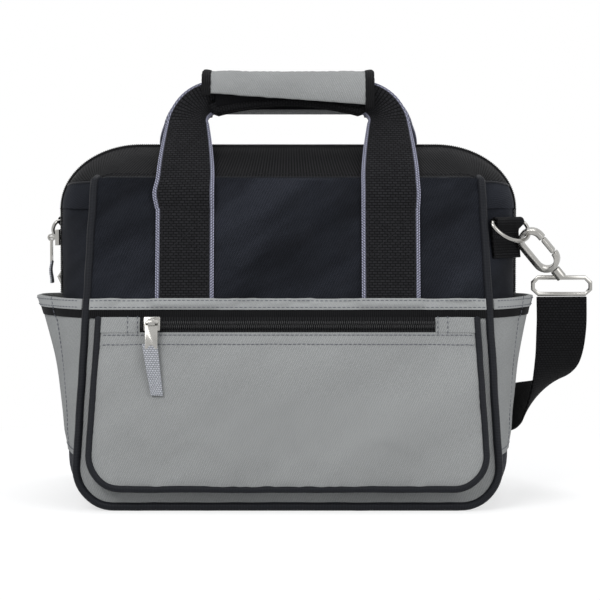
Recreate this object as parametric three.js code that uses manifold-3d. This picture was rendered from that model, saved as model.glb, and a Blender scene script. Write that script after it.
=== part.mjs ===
// Tool tote bag: a wide-mouth bag with a zipped front pocket, open side pockets,
// two webbing handles with grip pads, and a clip-on shoulder strap.
// Millimetres, +Z up, front towards -Y, origin at the centre of the underside.
import * as THREE from 'three';
import { mergeVertices } from 'three/addons/utils/BufferGeometryUtils.js';
import Module from 'manifold-3d';

const wasm = await Module();
wasm.setup();

// Body of the bag
const BASE_HALF_WIDTH = 158; // front panel at the floor, to the outside of its piping
const SEAM_HALF_WIDTH = 146.5; // front panel at its top seam
const BASE_HALF_DEPTH = 95;
const SEAM_HALF_DEPTH = 45;
const SEAM_HEIGHT = 240;
const MIDDLE_HALF_WIDTH = 172; // gusset where it bulges furthest, under the main zip
const SIDE_TAPER = 6.5; // how much less the gusset bulges at the floor
const SIDE_FULL_HEIGHT = 150; // where the taper ends
const CORNER_RADIUS = 31;
const CLOTH = 2.4; // padded cloth wall
const GAP = 0.3; // between sewn neighbours
const PIPING_DIAMETER = 6;
const PIPING_SINK = 1; // piping centre behind the outer face of the panel
const PIPING_LIFT = 0.4; // keeps the bottom piping just off the floor
const BASE_WRAP_HEIGHT = 42; // black base cloth turned up at the sides
const FOLD_HEIGHT = 218; // where the mouth folds open
const BOARD_THICKNESS = 3;
const BOARD_MARGIN = 4; // base board inside the flat of the base

// Trim across the bag
const BAND_LOW = 144;
const BAND_HIGH = 152;
const BAND_THICKNESS = 1.6;
const RIBBON_LOW = 138;
const RIBBON_THICKNESS = 1;

// Mouth and main zip
const ZIP_TOP = 265;
const ZIP_FLAT_HALF = 112; // straight stretch of the zip before its shoulders
const SEAM_FLAT_HALF = 135;
const TAPE_THICKNESS = 2;
const TAPE_CROWN = 4; // rise of the tape between seam and zip
const CHAIN_WIDTH = 6;
const CHAIN_THICKNESS = 2;
const CHAIN_SPLIT = 0.4; // between the two rows of teeth
const SIDE_CHAIN_LOW = 154;

// Side pockets
const RIGHT_POCKET_GAPE = 11;
const LEFT_POCKET_GAPE = 16;
const GAPE_CURVE = 2;

// Front pocket
const POCKET_HALF_WIDTH_LOW = 147.5;
const POCKET_HALF_WIDTH_HIGH = 141;
const POCKET_BOTTOM = 12.5; // up the panel
const POCKET_RADIUS = 27;
const POCKET_PROUD_LOW = 13;
const POCKET_PROUD_HIGH = 6;
const POCKET_PIPING_DIAMETER = 5;
const POCKET_WALL = 1.6;
const POCKET_FACE = 2;
const POCKET_CROWN = 6; // swell of the face at its middle
const POCKET_FOLD = 117.5; // folded edge of the face under the zip
const ZIP_WINDOW_HEIGHT = 11;
const ZIP_WINDOW_HALF = 108;
const POCKET_TAPE = 1;
const POCKET_TAPE_SINK = 0.8;

// Zip sliders and pulls
const SLIDER_WIDTH = 10.5;
const SLIDER_LENGTH = 12;
const SLIDER_BODY = 3;
const BRIDGE_BAR = 1.8;
const BRIDGE_LEG = 1.5;
const BRIDGE_SPAN = 6;
const EYE_CLEARANCE = 0.4;
const EYE_WALL = 1.2;
const EYE_SIDE_CLEARANCE = 0.5;
const PULL_WIDTH = 9;
const PULL_LENGTH = 19.5;
const PULL_THICKNESS = 1.4;
const PULL_NOTCH_RADIUS = 2.6;
const TAIL_WIDTH = 10;
const POCKET_TAIL_LENGTH = 34;
const MAIN_TAIL_LENGTH = 15;
const TAIL_THICKNESS = 1.2;
const TAIL_SLANT = 0.12;
const POCKET_SLIDER_X = -99;
const MAIN_SLIDER_HEIGHT = 196;

// Handles
const WEBBING_WIDTH = 43;
const WEBBING = 2;
const LEG_OFFSET = 76; // leg centre from the middle of the bag
const GRIP_HEIGHT = 302.5;
const GRIP_WEBBING_OFFSET = 8; // rolled webbing from the middle plane
const GRIP_WEBBING_WIDTH = 24.4;
const GRIP_WEBBING = 5.6;
const HANDLE_BEND = 22;
const GRIP_HALF_LENGTH = 64;
const GRIP_PAD = 4;
const GRIP_HALF_DEPTH = 21;
const GRIP_HALF_HEIGHT = 20;
const GRIP_SPLIT = 0.4; // each pad from the middle plane
const FRONT_PAD_SWEEP = 108; // degrees round from the top
const REAR_PAD_SWEEP = 130;

// Ring tabs, rings and snap hooks
const TAB_PLACE = -0.64; // across the gusset, -1 at the front edge and 0 in the middle
const TAB_WIDTH = 38;
const TAB_THICKNESS = 1.6;
const TAB_SEAT = 0.6; // flat tab off the curved gusset
const TAB_BAR_HEIGHT = 208;
const TAB_DROP = 27;
const RING_WIRE = 3.2;
const RING_HALF_WIDTH = 24;
const RING_DROP = 18;
const RING_CORNER = 3.5;
const RING_TILT = 32; // degrees the ring is drawn out from its tab
const HOOK_LENGTH = 38;
const HOOK_WIDTH = 21;
const HOOK_WALL = 4;
const HOOK_DEPTH = 6.5;
const HOOK_PLAY = 0.5; // between the ring and the end of the hook
const GATE_START = -6; // along the hook from its middle
const GATE_LENGTH = 14;
const GATE_GAP = 0.4;
const GATE_WALL = 3;
const GATE_DEPTH = 6;
const SWIVEL_DIAMETER = 8;
const SWIVEL_LENGTH = 8;
const LOOP_INNER_WIDTH = 40;
const LOOP_WIRE = 3.4;
const LOOP_CORNER = 4;

// Each hook: degrees round the ring where it sits, and the point it hangs towards
const RIGHT_HOOK = { ringTurn: 40, aim: [204, -22, 169] };
const LEFT_HOOK = { ringTurn: -40, aim: [-164, 78, 165] };

// Shoulder strap: each stop has a point on the route and the way the width lies there
const STRAP_WIDTH = 38;
const STRAP = 1.6;
const STRAP_STEPS = 64;
const ADJUSTER_PLACE = [0, 122, 1.6];
const STRAP_ROUTE = [
  [[207, -18, 151.5], [1, 0, 0]],
  [[207, -18, 128], [1, 0.05, 0]],
  [[205, -9, 101], [0.95, 0.3, 0.1]],
  [[197, 6, 80], [0.7, 0.6, 0.4]],
  [[187, 30, 67], [0.3, 0.5, 0.8]],
  [[176, 62, 59], [0.05, 0.25, 1]],
  [[160, 92, 51], [0.1, 0.15, 1]],
  [[138, 110, 41], [0.2, 0.4, 0.85]],
  [[108, 118, 24], [0.2, 0.8, 0.5]],
  [[75, 121, 9], [0.1, 0.95, 0.2]],
  [[40, 122, 1.9], [0, 1, 0]],
  [ADJUSTER_PLACE, [0, 1, 0]],
  [[-35, 122, 1.9], [0, 1, 0]],
  [[-62, 121, 11], [-0.1, 0.97, 0]],
  [[-90, 119, 30], [-0.2, 0.95, -0.1]],
  [[-118, 114, 55], [-0.5, 0.8, -0.35]],
  [[-140, 104, 80], [-0.75, 0.55, -0.4]],
  [[-152, 92, 105], [-0.9, 0.35, -0.2]],
  [[-157, 82, 128], [-1, 0.05, 0]],
  [[-157, 80, 148], [-1, 0, 0]],
];
const ADJUSTER_LENGTH = 30;
const ADJUSTER_BAR = 4;
const ADJUSTER_THICKNESS = 3;

// Finishes
const GREY_CLOTH = { color: 0x969896, roughness: 0.85, metalness: 0 };
const BLACK_CLOTH = { color: 0x262930, roughness: 0.85, metalness: 0 };
const BLACK_WEBBING = { color: 0x1e1e1f, roughness: 0.8, metalness: 0 };
const BLACK_TRIM = { color: 0x282a30, roughness: 0.6, metalness: 0 };
const ZIP_CLOTH = { color: 0x19191a, roughness: 0.7, metalness: 0 };
const TAIL_CLOTH = { color: 0xa5aab4, roughness: 0.8, metalness: 0 };
const BOARD = { color: 0x2a2a2a, roughness: 0.6, metalness: 0 };
const NICKEL = { color: 0xc8c6c0, roughness: 0.25, metalness: 1 };

// Shape of the bag as formulas
const LEAN = Math.atan((BASE_HALF_DEPTH - SEAM_HALF_DEPTH) / SEAM_HEIGHT);
const PIPING_RADIUS = PIPING_DIAMETER / 2;
const PANEL_INSET = PIPING_DIAMETER + GAP; // panel edge inside its piping
const GUSSET_SETBACK = (PIPING_SINK + PIPING_RADIUS + 3 * GAP) / Math.cos(LEAN);
const upPanel = (height) => height / Math.cos(LEAN);
const FOLD = upPanel(FOLD_HEIGHT);
const SEAM = upPanel(SEAM_HEIGHT);

function panelHalfWidth(up) {
  return BASE_HALF_WIDTH + (SEAM_HALF_WIDTH - BASE_HALF_WIDTH) * up / SEAM;
}

function gussetEdge(height) {
  return panelHalfWidth(upPanel(height)) - PIPING_RADIUS;
}

function gussetHalfDepth(height) {
  return BASE_HALF_DEPTH - height * Math.tan(LEAN) - GUSSET_SETBACK;
}

// Half width of the gusset at a height; across runs from -1 at the front edge to 1 at the rear
function gussetX(height, across) {
  const edge = gussetEdge(height);
  const middle = MIDDLE_HALF_WIDTH - SIDE_TAPER * Math.max(1 - height / SIDE_FULL_HEIGHT, 0);
  return edge + (middle - edge) * (1 - across * across);
}

// A point of the panel plane, in the bag's frame
function onPanel(x, up, out) {
  const y = -BASE_HALF_DEPTH + up * Math.sin(LEAN) - out * Math.cos(LEAN);
  const z = up * Math.cos(LEAN) + out * Math.sin(LEAN);
  return new THREE.Vector3(x, y, z);
}

// Evenly spaced values from first to last
function spread(first, last, steps) {
  return Array.from({ length: steps + 1 }, (_, i) => first + (last - first) * i / steps);
}

function meshVolume(position, index) {
  const a = new THREE.Vector3();
  const b = new THREE.Vector3();
  const c = new THREE.Vector3();
  let six = 0;
  for (let i = 0; i < index.length; i += 3) {
    a.fromArray(position, index[i] * 3);
    b.fromArray(position, index[i + 1] * 3);
    c.fromArray(position, index[i + 2] * 3);
    six += a.dot(b.cross(c));
  }
  return six / 6;
}

function closedGeometry(points, index) {
  const position = points.flatMap((p) => [p.x, p.y, p.z]);
  if (meshVolume(position, index) < 0) index.reverse();
  const geometry = new THREE.BufferGeometry();
  geometry.setAttribute('position', new THREE.Float32BufferAttribute(position, 3));
  geometry.setIndex(index);
  return geometry;
}

// Closed sheet between two grids of points
function sheet(outer, inner) {
  const rows = outer.length;
  const columns = outer[0].length;
  const index = [];
  const at = (layer, i, j) => (layer * rows + i) * columns + j;
  const quad = (a, b, c, d) => index.push(a, b, c, a, c, d);
  for (let i = 0; i < rows - 1; i += 1) {
    for (let j = 0; j < columns - 1; j += 1) {
      quad(at(0, i, j), at(0, i, j + 1), at(0, i + 1, j + 1), at(0, i + 1, j));
      quad(at(1, i, j), at(1, i + 1, j), at(1, i + 1, j + 1), at(1, i, j + 1));
    }
  }
  const last = rows - 1;
  for (let j = 0; j < columns - 1; j += 1) {
    quad(at(0, 0, j), at(1, 0, j), at(1, 0, j + 1), at(0, 0, j + 1));
    quad(at(0, last, j), at(0, last, j + 1), at(1, last, j + 1), at(1, last, j));
  }
  const side = columns - 1;
  for (let i = 0; i < rows - 1; i += 1) {
    quad(at(0, i, 0), at(0, i + 1, 0), at(1, i + 1, 0), at(1, i, 0));
    quad(at(0, i, side), at(1, i, side), at(1, i + 1, side), at(0, i + 1, side));
  }
  return closedGeometry([...outer.flat(), ...inner.flat()], index);
}

// Round wire or piping along points, with flat ends or closed on itself
function wire(points, diameter, sides, closed) {
  const count = points.length;
  const rings = [];
  const normal = new THREE.Vector3();
  let before = null;
  points.forEach((point, i) => {
    const ahead = points[closed ? (i + 1) % count : Math.min(i + 1, count - 1)];
    const behind = points[closed ? (i + count - 1) % count : Math.max(i - 1, 0)];
    const tangent = ahead.clone().sub(behind).normalize();
    if (before === null) {
      const across = Math.abs(tangent.z) < 0.9 ? new THREE.Vector3(0, 0, 1) : new THREE.Vector3(0, 1, 0);
      normal.crossVectors(tangent, across).normalize();
    } else {
      normal.applyQuaternion(new THREE.Quaternion().setFromUnitVectors(before, tangent));
    }
    before = tangent;
    const second = new THREE.Vector3().crossVectors(tangent, normal);
    for (let k = 0; k < sides; k += 1) {
      const turn = 2 * Math.PI * k / sides;
      const rim = normal.clone().multiplyScalar(Math.cos(turn)).addScaledVector(second, Math.sin(turn));
      rings.push(point.clone().addScaledVector(rim, diameter / 2));
    }
  });
  const index = [];
  const at = (i, k) => (i % count) * sides + (k % sides);
  for (let i = 0; i < (closed ? count : count - 1); i += 1) {
    for (let k = 0; k < sides; k += 1) {
      index.push(at(i, k), at(i + 1, k), at(i + 1, k + 1), at(i, k), at(i + 1, k + 1), at(i, k + 1));
    }
  }
  if (!closed) {
    for (let k = 1; k < sides - 1; k += 1) {
      index.push(at(0, 0), at(0, k), at(0, k + 1));
      index.push(at(count - 1, 0), at(count - 1, k + 1), at(count - 1, k));
    }
  }
  return closedGeometry(rings, index);
}

// Flat plate: the shape's own up becomes Z, and it spans two distances out towards -Y
function plate(shape, near, far) {
  const settings = { depth: far - near, bevelEnabled: false, curveSegments: 8 };
  const geometry = new THREE.ExtrudeGeometry(shape, settings);
  geometry.rotateX(Math.PI / 2);
  geometry.translate(0, -near, 0);
  return geometry;
}

function rectangle(left, right, low, high) {
  const shape = new THREE.Shape();
  shape.moveTo(left, low);
  shape.lineTo(right, low);
  shape.lineTo(right, high);
  shape.lineTo(left, high);
  return shape;
}

function solidOf(geometry) {
  const bare = geometry.clone();
  bare.deleteAttribute('normal');
  bare.deleteAttribute('uv');
  const merged = mergeVertices(bare);
  const vertProperties = Float32Array.from(merged.attributes.position.array);
  const triVerts = Uint32Array.from(merged.index.array);
  return new wasm.Manifold(new wasm.Mesh({ numProp: 3, vertProperties, triVerts }));
}

function geometryOf(solid) {
  const result = solid.getMesh();
  const geometry = new THREE.BufferGeometry();
  geometry.setAttribute('position', new THREE.BufferAttribute(result.vertProperties, 3));
  geometry.setIndex(new THREE.BufferAttribute(result.triVerts, 1));
  return geometry;
}

function joined(...geometries) {
  return geometryOf(geometries.map(solidOf).reduce((whole, next) => whole.add(next)));
}

function addPiece(group, name, geometry, finish) {
  const mesh = new THREE.Mesh(geometry, new THREE.MeshStandardMaterial(finish));
  mesh.name = name;
  group.add(mesh);
}

// U-shaped outline with round bottom corners, as points from left top to right top
function roundOutline(halfWidthAt, inset, bottom, cornerRadius, top) {
  const radius = cornerRadius - inset;
  const half = halfWidthAt(bottom + radius) - inset;
  const arc = (middle, first) => spread(first, first + Math.PI / 2, 10).map((turn) => new THREE.Vector2(
    middle + radius * Math.cos(turn), bottom + radius * (1 + Math.sin(turn))));
  return [
    new THREE.Vector2(inset - halfWidthAt(top), top),
    ...arc(radius - half, Math.PI),
    ...arc(half - radius, 1.5 * Math.PI),
    new THREE.Vector2(halfWidthAt(top) - inset, top),
  ];
}

function panelOutline(inset, top) {
  return roundOutline(panelHalfWidth, inset, inset + PIPING_LIFT, CORNER_RADIUS, top);
}

// A level strip of the panel between two heights, up to the piping
function panelStrip(low, high) {
  const lowHalf = panelHalfWidth(low) - PANEL_INSET;
  const highHalf = panelHalfWidth(high) - PANEL_INSET;
  const corners = [[-lowHalf, low], [lowHalf, low], [highHalf, high], [-highHalf, high]];
  return new THREE.Shape(corners.map(([x, y]) => new THREE.Vector2(x, y)));
}

// Black base cloth: flat underneath, round at the corners and turned up at both sides
function basePanel() {
  const round = spread(0, Math.PI / 2, 6);
  const section = (across, inside) => {
    const radius = CORNER_RADIUS - inside;
    const half = [[gussetX(BASE_WRAP_HEIGHT, across) - inside, BASE_WRAP_HEIGHT]];
    for (const turn of round) {
      const height = CORNER_RADIUS - radius * Math.sin(turn);
      half.push([gussetX(height, across) - CORNER_RADIUS + radius * Math.cos(turn), height]);
    }
    const mirrored = half.map(([x, z]) => [-x, z]);
    const points = [...mirrored, [0, inside], ...half.reverse()];
    return points.map(([x, z]) => new THREE.Vector3(x, across * gussetHalfDepth(z), z));
  };
  const stations = spread(-1, 1, 8);
  return sheet(stations.map((v) => section(v, 0)), stations.map((v) => section(v, CLOTH)));
}

// Sheet on the right-hand gusset between two heights; standOff gives its inner face
function gussetSheet(low, high, standOff, thickness, rows) {
  const grid = (extra) => spread(low, high, rows).map((height) => spread(-1, 1, 12).map((across) => {
    const x = gussetX(height, across) + standOff(height, across) + extra;
    return new THREE.Vector3(x, across * gussetHalfDepth(height), height);
  }));
  return sheet(grid(thickness), grid(0));
}

function sideWall(side, prefix, gape) {
  const flush = () => -CLOTH;
  const gaping = (height, across) => {
    const rise = Math.max(height - BASE_WRAP_HEIGHT, 0) / (BAND_HIGH - BASE_WRAP_HEIGHT);
    return GAP + gape * rise ** GAPE_CURVE * (1 - across * across);
  };
  addPiece(side, `${prefix}_gusset`,
    gussetSheet(BASE_WRAP_HEIGHT + GAP, FOLD_HEIGHT - GAP, flush, CLOTH, 11), BLACK_CLOTH);
  addPiece(side, `${prefix}_pocket`,
    gussetSheet(BASE_WRAP_HEIGHT + GAP, RIBBON_LOW - GAP, gaping, CLOTH, 6), GREY_CLOTH);
  addPiece(side, `${prefix}_pocket_ribbon`,
    gussetSheet(RIBBON_LOW, BAND_LOW - GAP, gaping, CLOTH, 1), BLACK_TRIM);
  addPiece(side, `${prefix}_pocket_band`,
    gussetSheet(BAND_LOW, BAND_HIGH, gaping, CLOTH, 1), GREY_CLOTH);
  const chain = new THREE.BoxGeometry(CHAIN_THICKNESS, CHAIN_WIDTH, FOLD_HEIGHT - GAP - SIDE_CHAIN_LOW);
  const chainX = MIDDLE_HALF_WIDTH + GAP + CHAIN_THICKNESS / 2;
  chain.translate(chainX, 0, (FOLD_HEIGHT - GAP + SIDE_CHAIN_LOW) / 2);
  addPiece(side, `${prefix}_zip_chain`, chain, ZIP_CLOTH);
}

// Edge of the mouth from left to right: level, with round shoulders down to the fold
function mouthEdge(flatHalf, endHalf, low, top) {
  const level = spread(0, flatHalf, 3).map((x) => [x, top]);
  const shoulder = spread(0, Math.PI / 2, 10).slice(1).map((turn) => [
    flatHalf + (endHalf - flatHalf) * Math.sin(turn),
    low + (top - low) * Math.cos(turn),
  ]);
  const right = [...level, ...shoulder];
  const left = right.slice(1).reverse().map(([x, z]) => [-x, z]);
  return [...left, ...right];
}

const MOUTH_LOW = FOLD_HEIGHT + GAP;
const SEAM_EDGE = mouthEdge(SEAM_FLAT_HALF, gussetEdge(FOLD_HEIGHT), MOUTH_LOW, SEAM_HEIGHT + GAP);
const ZIP_EDGE = mouthEdge(ZIP_FLAT_HALF, MIDDLE_HALF_WIDTH, MOUTH_LOW, ZIP_TOP);

// Top strip of the panel, above the fold
function mouthPanel() {
  const endHalf = panelHalfWidth(FOLD) - PANEL_INSET;
  const edge = mouthEdge(SEAM_FLAT_HALF, endHalf, FOLD + GAP, SEAM);
  const shape = new THREE.Shape(edge.map(([x, up]) => new THREE.Vector2(x, up)));
  return plate(shape, -CLOTH, 0);
}

// Zip tape from the top seam of the panel up to the teeth, bowed outwards between them
function mouthTape() {
  const tapeEdge = CHAIN_WIDTH / 2 + GAP;
  const outer = SEAM_EDGE.map(([seamX, seamZ], i) => spread(0, 1, 4).map((t) => {
    const [zipX, zipZ] = ZIP_EDGE[i];
    const level = (zipZ - MOUTH_LOW) / (ZIP_TOP - MOUTH_LOW);
    const bow = 1 - (1 - t) ** 2;
    const x = seamX + (zipX - seamX) * bow;
    const y = -gussetHalfDepth(seamZ) * (1 - t) - tapeEdge * t;
    const z = seamZ + (zipZ - seamZ) * t + TAPE_CROWN * level * 4 * t * (1 - t);
    return new THREE.Vector3(x, y, z);
  }));
  return sheet(outer, pushedGrid(outer, -TAPE_THICKNESS));
}

// The same grid of points moved along its own normals
function pushedGrid(grid, distance) {
  const clampTo = (list, k) => list[Math.min(Math.max(k, 0), list.length - 1)];
  return grid.map((row, i) => row.map((point, j) => {
    const along = clampTo(grid, i + 1)[j].clone().sub(clampTo(grid, i - 1)[j]);
    const across = clampTo(row, j + 1).clone().sub(clampTo(row, j - 1));
    const normal = along.cross(across).normalize();
    return point.clone().addScaledVector(normal, distance);
  }));
}

// One row of the main zip's teeth, along the arch
function mouthChain() {
  const ways = [-CHAIN_WIDTH / 2, -CHAIN_SPLIT / 2];
  const foot = ZIP_EDGE.map(([x, z]) => ways.map((y) => new THREE.Vector3(x, y, z)));
  return sheet(pushedGrid(foot, GAP + CHAIN_THICKNESS), pushedGrid(foot, GAP));
}

// The webbing runs up the panel to its top seam, leans in to a knee and stands upright in the grip
const HANDLE_START = FOLD + GAP;
const CORNER_UP = SEAM + WEBBING - HANDLE_START;
const WEBBING_MIDDLE = GAP + WEBBING / 2;
const HANDLE_CORNER = onPanel(0, HANDLE_START + CORNER_UP, WEBBING_MIDDLE);
const KNEE_DROP = GRIP_WEBBING_WIDTH / 2 + WEBBING;
const HANDLE_KNEE = new THREE.Vector3(0, -GRIP_WEBBING_OFFSET, GRIP_HEIGHT - KNEE_DROP);
const KNEE_UP = CORNER_UP + HANDLE_KNEE.distanceTo(HANDLE_CORNER);
const GRIP_UP = KNEE_UP + KNEE_DROP;

function onHandle(x, up, out) {
  if (up <= CORNER_UP) return onPanel(x, HANDLE_START + up, WEBBING_MIDDLE + out);
  if (up > KNEE_UP) return new THREE.Vector3(x, HANDLE_KNEE.y - out, HANDLE_KNEE.z + up - KNEE_UP);
  const along = HANDLE_KNEE.clone().sub(HANDLE_CORNER).normalize();
  const point = HANDLE_CORNER.clone().addScaledVector(along, up - CORNER_UP);
  return new THREE.Vector3(x, point.y - along.z * out, point.z + along.y * out);
}

// Half of the handle from the left leg to the middle of the grip: place, heading, width and thickness
function handleStations() {
  const bendUp = GRIP_UP - HANDLE_BEND;
  const bendX = LEG_OFFSET - HANDLE_BEND;
  const leg = [0, CORNER_UP / 2, CORNER_UP, (CORNER_UP + bendUp) / 2].map((up) => ({
    x: -LEG_OFFSET, up, heading: Math.PI / 2, roll: Math.max(up - CORNER_UP, 0) / (GRIP_UP - CORNER_UP),
  }));
  const bend = spread(0, Math.PI / 2, 7).map((turn) => ({
    x: -bendX - HANDLE_BEND * Math.cos(turn),
    up: bendUp + HANDLE_BEND * Math.sin(turn),
    heading: Math.PI / 2 - turn,
    roll: (bendUp + HANDLE_BEND * Math.sin(turn) - CORNER_UP) / (GRIP_UP - CORNER_UP),
  }));
  return [...leg, ...bend, { x: 0, up: GRIP_UP, heading: 0, roll: 1 }];
}

function handleWebbing() {
  const left = handleStations();
  const right = left.slice(0, -1).reverse().map((s) => ({ ...s, x: -s.x, heading: -s.heading }));
  const face = (side) => [...left, ...right].map(({ x, up, heading, roll }) => [-0.5, 0.5].map((edge) => {
    const width = edge * (WEBBING_WIDTH + (GRIP_WEBBING_WIDTH - WEBBING_WIDTH) * roll);
    const out = side * (WEBBING + (GRIP_WEBBING - WEBBING) * roll) / 2;
    return onHandle(x - width * Math.sin(heading), up + width * Math.cos(heading), out);
  }));
  return sheet(face(1), face(-1));
}

// Padded grip cover round its own half of the handle, from the top down
function gripPad(sweep) {
  const shell = (inside) => spread(0, THREE.MathUtils.degToRad(sweep), 10).map((turn) => {
    const y = -GRIP_SPLIT - (GRIP_HALF_DEPTH - inside) * Math.sin(turn);
    const z = GRIP_HEIGHT + (GRIP_HALF_HEIGHT - inside) * Math.cos(turn);
    return [-GRIP_HALF_LENGTH, GRIP_HALF_LENGTH].map((x) => new THREE.Vector3(x, y, z));
  });
  return sheet(shell(0), shell(GRIP_PAD));
}

// Front or rear half: panel, trim, sewn handle legs, mouth and handle
function bagHalf(prefix, padSweep) {
  const half = new THREE.Group();
  const panel = new THREE.Group();
  panel.position.y = -BASE_HALF_DEPTH;
  panel.rotation.x = -LEAN;
  half.add(panel);
  const bandLow = upPanel(BAND_LOW);
  const bandHigh = upPanel(BAND_HIGH);
  const join = (bandLow + bandHigh) / 2;
  const lower = new THREE.Shape(panelOutline(PANEL_INSET, join - GAP));
  addPiece(panel, `${prefix}_lower_panel`, plate(lower, -CLOTH, 0), GREY_CLOTH);
  addPiece(panel, `${prefix}_upper_panel`, plate(panelStrip(join, FOLD - GAP), -CLOTH, 0), BLACK_CLOTH);
  const band = plate(panelStrip(bandLow, bandHigh), GAP, GAP + BAND_THICKNESS);
  addPiece(panel, `${prefix}_band`, band, GREY_CLOTH);
  const pipingLine = panelOutline(PIPING_RADIUS, FOLD - GAP);
  const piping = pipingLine.map((p) => new THREE.Vector3(p.x, PIPING_SINK, p.y));
  addPiece(panel, `${prefix}_piping`, wire(piping, PIPING_DIAMETER, 8, false), BLACK_TRIM);
  for (const [side, sign] of [['left', -1], ['right', 1]]) {
    const middle = sign * LEG_OFFSET;
    const legHalf = WEBBING_WIDTH / 2;
    const leg = rectangle(middle - legHalf, middle + legHalf, bandHigh + GAP, FOLD - GAP);
    addPiece(panel, `${prefix}_handle_leg_${side}`, plate(leg, GAP, GAP + WEBBING), BLACK_WEBBING);
  }
  addPiece(panel, `${prefix}_mouth_panel`, mouthPanel(), BLACK_CLOTH);
  addPiece(half, `${prefix}_mouth_tape`, mouthTape(), ZIP_CLOTH);
  addPiece(half, `${prefix}_zip_teeth`, mouthChain(), ZIP_CLOTH);
  addPiece(half, `${prefix}_handle_webbing`, handleWebbing(), BLACK_WEBBING);
  addPiece(half, `${prefix}_grip_pad`, gripPad(padSweep), GREY_CLOTH);
  return { half, panel };
}

// Zip slider with its bridge, its pull and the pull's tail, hanging from a bar along X
const EYE_HOLE = BRIDGE_BAR * Math.SQRT1_2 + EYE_CLEARANCE;
const EYE_RADIUS = EYE_HOLE + EYE_WALL;
const BRIDGE_RISE = EYE_RADIUS - BRIDGE_BAR / 2 + EYE_CLEARANCE;
const PULL_PIVOT_OUT = SLIDER_BODY + BRIDGE_RISE + BRIDGE_BAR / 2;

// Extrusion along X of a shape drawn as distance out and height
function crossBar(shape, left, right) {
  const settings = { depth: right - left, bevelEnabled: false, curveSegments: 8 };
  const geometry = new THREE.ExtrudeGeometry(shape, settings);
  const outward = new THREE.Vector3(0, -1, 0);
  const up = new THREE.Vector3(0, 0, 1);
  const back = new THREE.Vector3(-1, 0, 0);
  geometry.applyMatrix4(new THREE.Matrix4().makeBasis(outward, up, back));
  geometry.translate(right, 0, 0);
  return geometry;
}

function eyeRing(out, hole, radius) {
  const ring = new THREE.Shape();
  ring.absarc(out, 0, radius, 0, 2 * Math.PI);
  const opening = new THREE.Path();
  opening.absarc(out, 0, hole, 0, 2 * Math.PI, true);
  ring.holes.push(opening);
  return ring;
}

function zipSlider(group, prefix, length, width, tailLength) {
  const body = plate(rectangle(-length / 2, length / 2, -width / 2, width / 2), 0, SLIDER_BODY);
  const inner = BRIDGE_SPAN / 2;
  const outer = inner + BRIDGE_LEG;
  const barLow = SLIDER_BODY + BRIDGE_RISE;
  const root = SLIDER_BODY / 2;
  const arch = [
    [-outer, root], [-inner, root], [-inner, barLow], [inner, barLow],
    [inner, root], [outer, root], [outer, barLow + BRIDGE_BAR], [-outer, barLow + BRIDGE_BAR],
  ];
  const shape = new THREE.Shape(arch.map(([x, out]) => new THREE.Vector2(x, out)));
  const bridge = new THREE.ExtrudeGeometry(shape, { depth: BRIDGE_BAR, bevelEnabled: false });
  bridge.rotateX(Math.PI);
  bridge.translate(0, 0, BRIDGE_BAR / 2);
  addPiece(group, `${prefix}_slider`, joined(body, bridge), NICKEL);
  const eyeHalf = BRIDGE_SPAN / 2 - EYE_SIDE_CLEARANCE;
  const eye = crossBar(eyeRing(PULL_PIVOT_OUT, EYE_HOLE, EYE_RADIUS), -eyeHalf, eyeHalf);
  const near = PULL_PIVOT_OUT - PULL_THICKNESS / 2;
  const tab = new THREE.Shape();
  const top = -(EYE_HOLE + EYE_WALL / 2);
  tab.moveTo(-PULL_WIDTH / 2, top);
  tab.lineTo(-PULL_WIDTH / 2, -PULL_LENGTH);
  tab.absarc(0, -PULL_LENGTH, PULL_NOTCH_RADIUS, Math.PI, 0, true);
  tab.lineTo(PULL_WIDTH / 2, -PULL_LENGTH);
  tab.lineTo(PULL_WIDTH / 2, top);
  addPiece(group, `${prefix}_pull`, joined(eye, plate(tab, near, near + PULL_THICKNESS)), NICKEL);
  const tailTop = -PULL_LENGTH - GAP;
  const tailLow = tailTop - tailLength;
  const shift = TAIL_SLANT * tailLength;
  const tail = [
    [-TAIL_WIDTH / 2, tailTop], [shift - TAIL_WIDTH / 2, tailLow],
    [shift + TAIL_WIDTH / 2, tailLow], [TAIL_WIDTH / 2, tailTop],
  ];
  const tailShape = new THREE.Shape(tail.map(([x, up]) => new THREE.Vector2(x, up)));
  const tailNear = PULL_PIVOT_OUT - TAIL_THICKNESS / 2;
  addPiece(group, `${prefix}_pull_tail`, plate(tailShape, tailNear, tailNear + TAIL_THICKNESS), TAIL_CLOTH);
}

// Face of the front pocket, swollen between its piping and its fold
function pocketFace(halfAt, inset) {
  const radius = POCKET_RADIUS - inset;
  const foot = halfAt(POCKET_RADIUS) - POCKET_RADIUS;
  const corner = spread(0, Math.PI / 2, 6).map((turn) => [
    inset + radius * (1 - Math.cos(turn)),
    foot + radius * Math.sin(turn),
  ]);
  const side = spread(POCKET_RADIUS, POCKET_FOLD, 8).slice(1).map((up) => [up, halfAt(up) - inset]);
  const middle = (inset + POCKET_FOLD) / 2;
  const outer = [...corner, ...side].map(([up, half]) => spread(-1, 1, 16).map((across) => {
    const level = (up - middle) / (POCKET_FOLD - middle);
    const crown = POCKET_CROWN * (1 - across ** 4) * (1 - level ** 4);
    return new THREE.Vector3(across * half, -crown, up);
  }));
  const inner = outer.map((row) => row.map((point) => point.clone().setY(point.y + POCKET_FACE)));
  return sheet(outer, inner);
}

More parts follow.
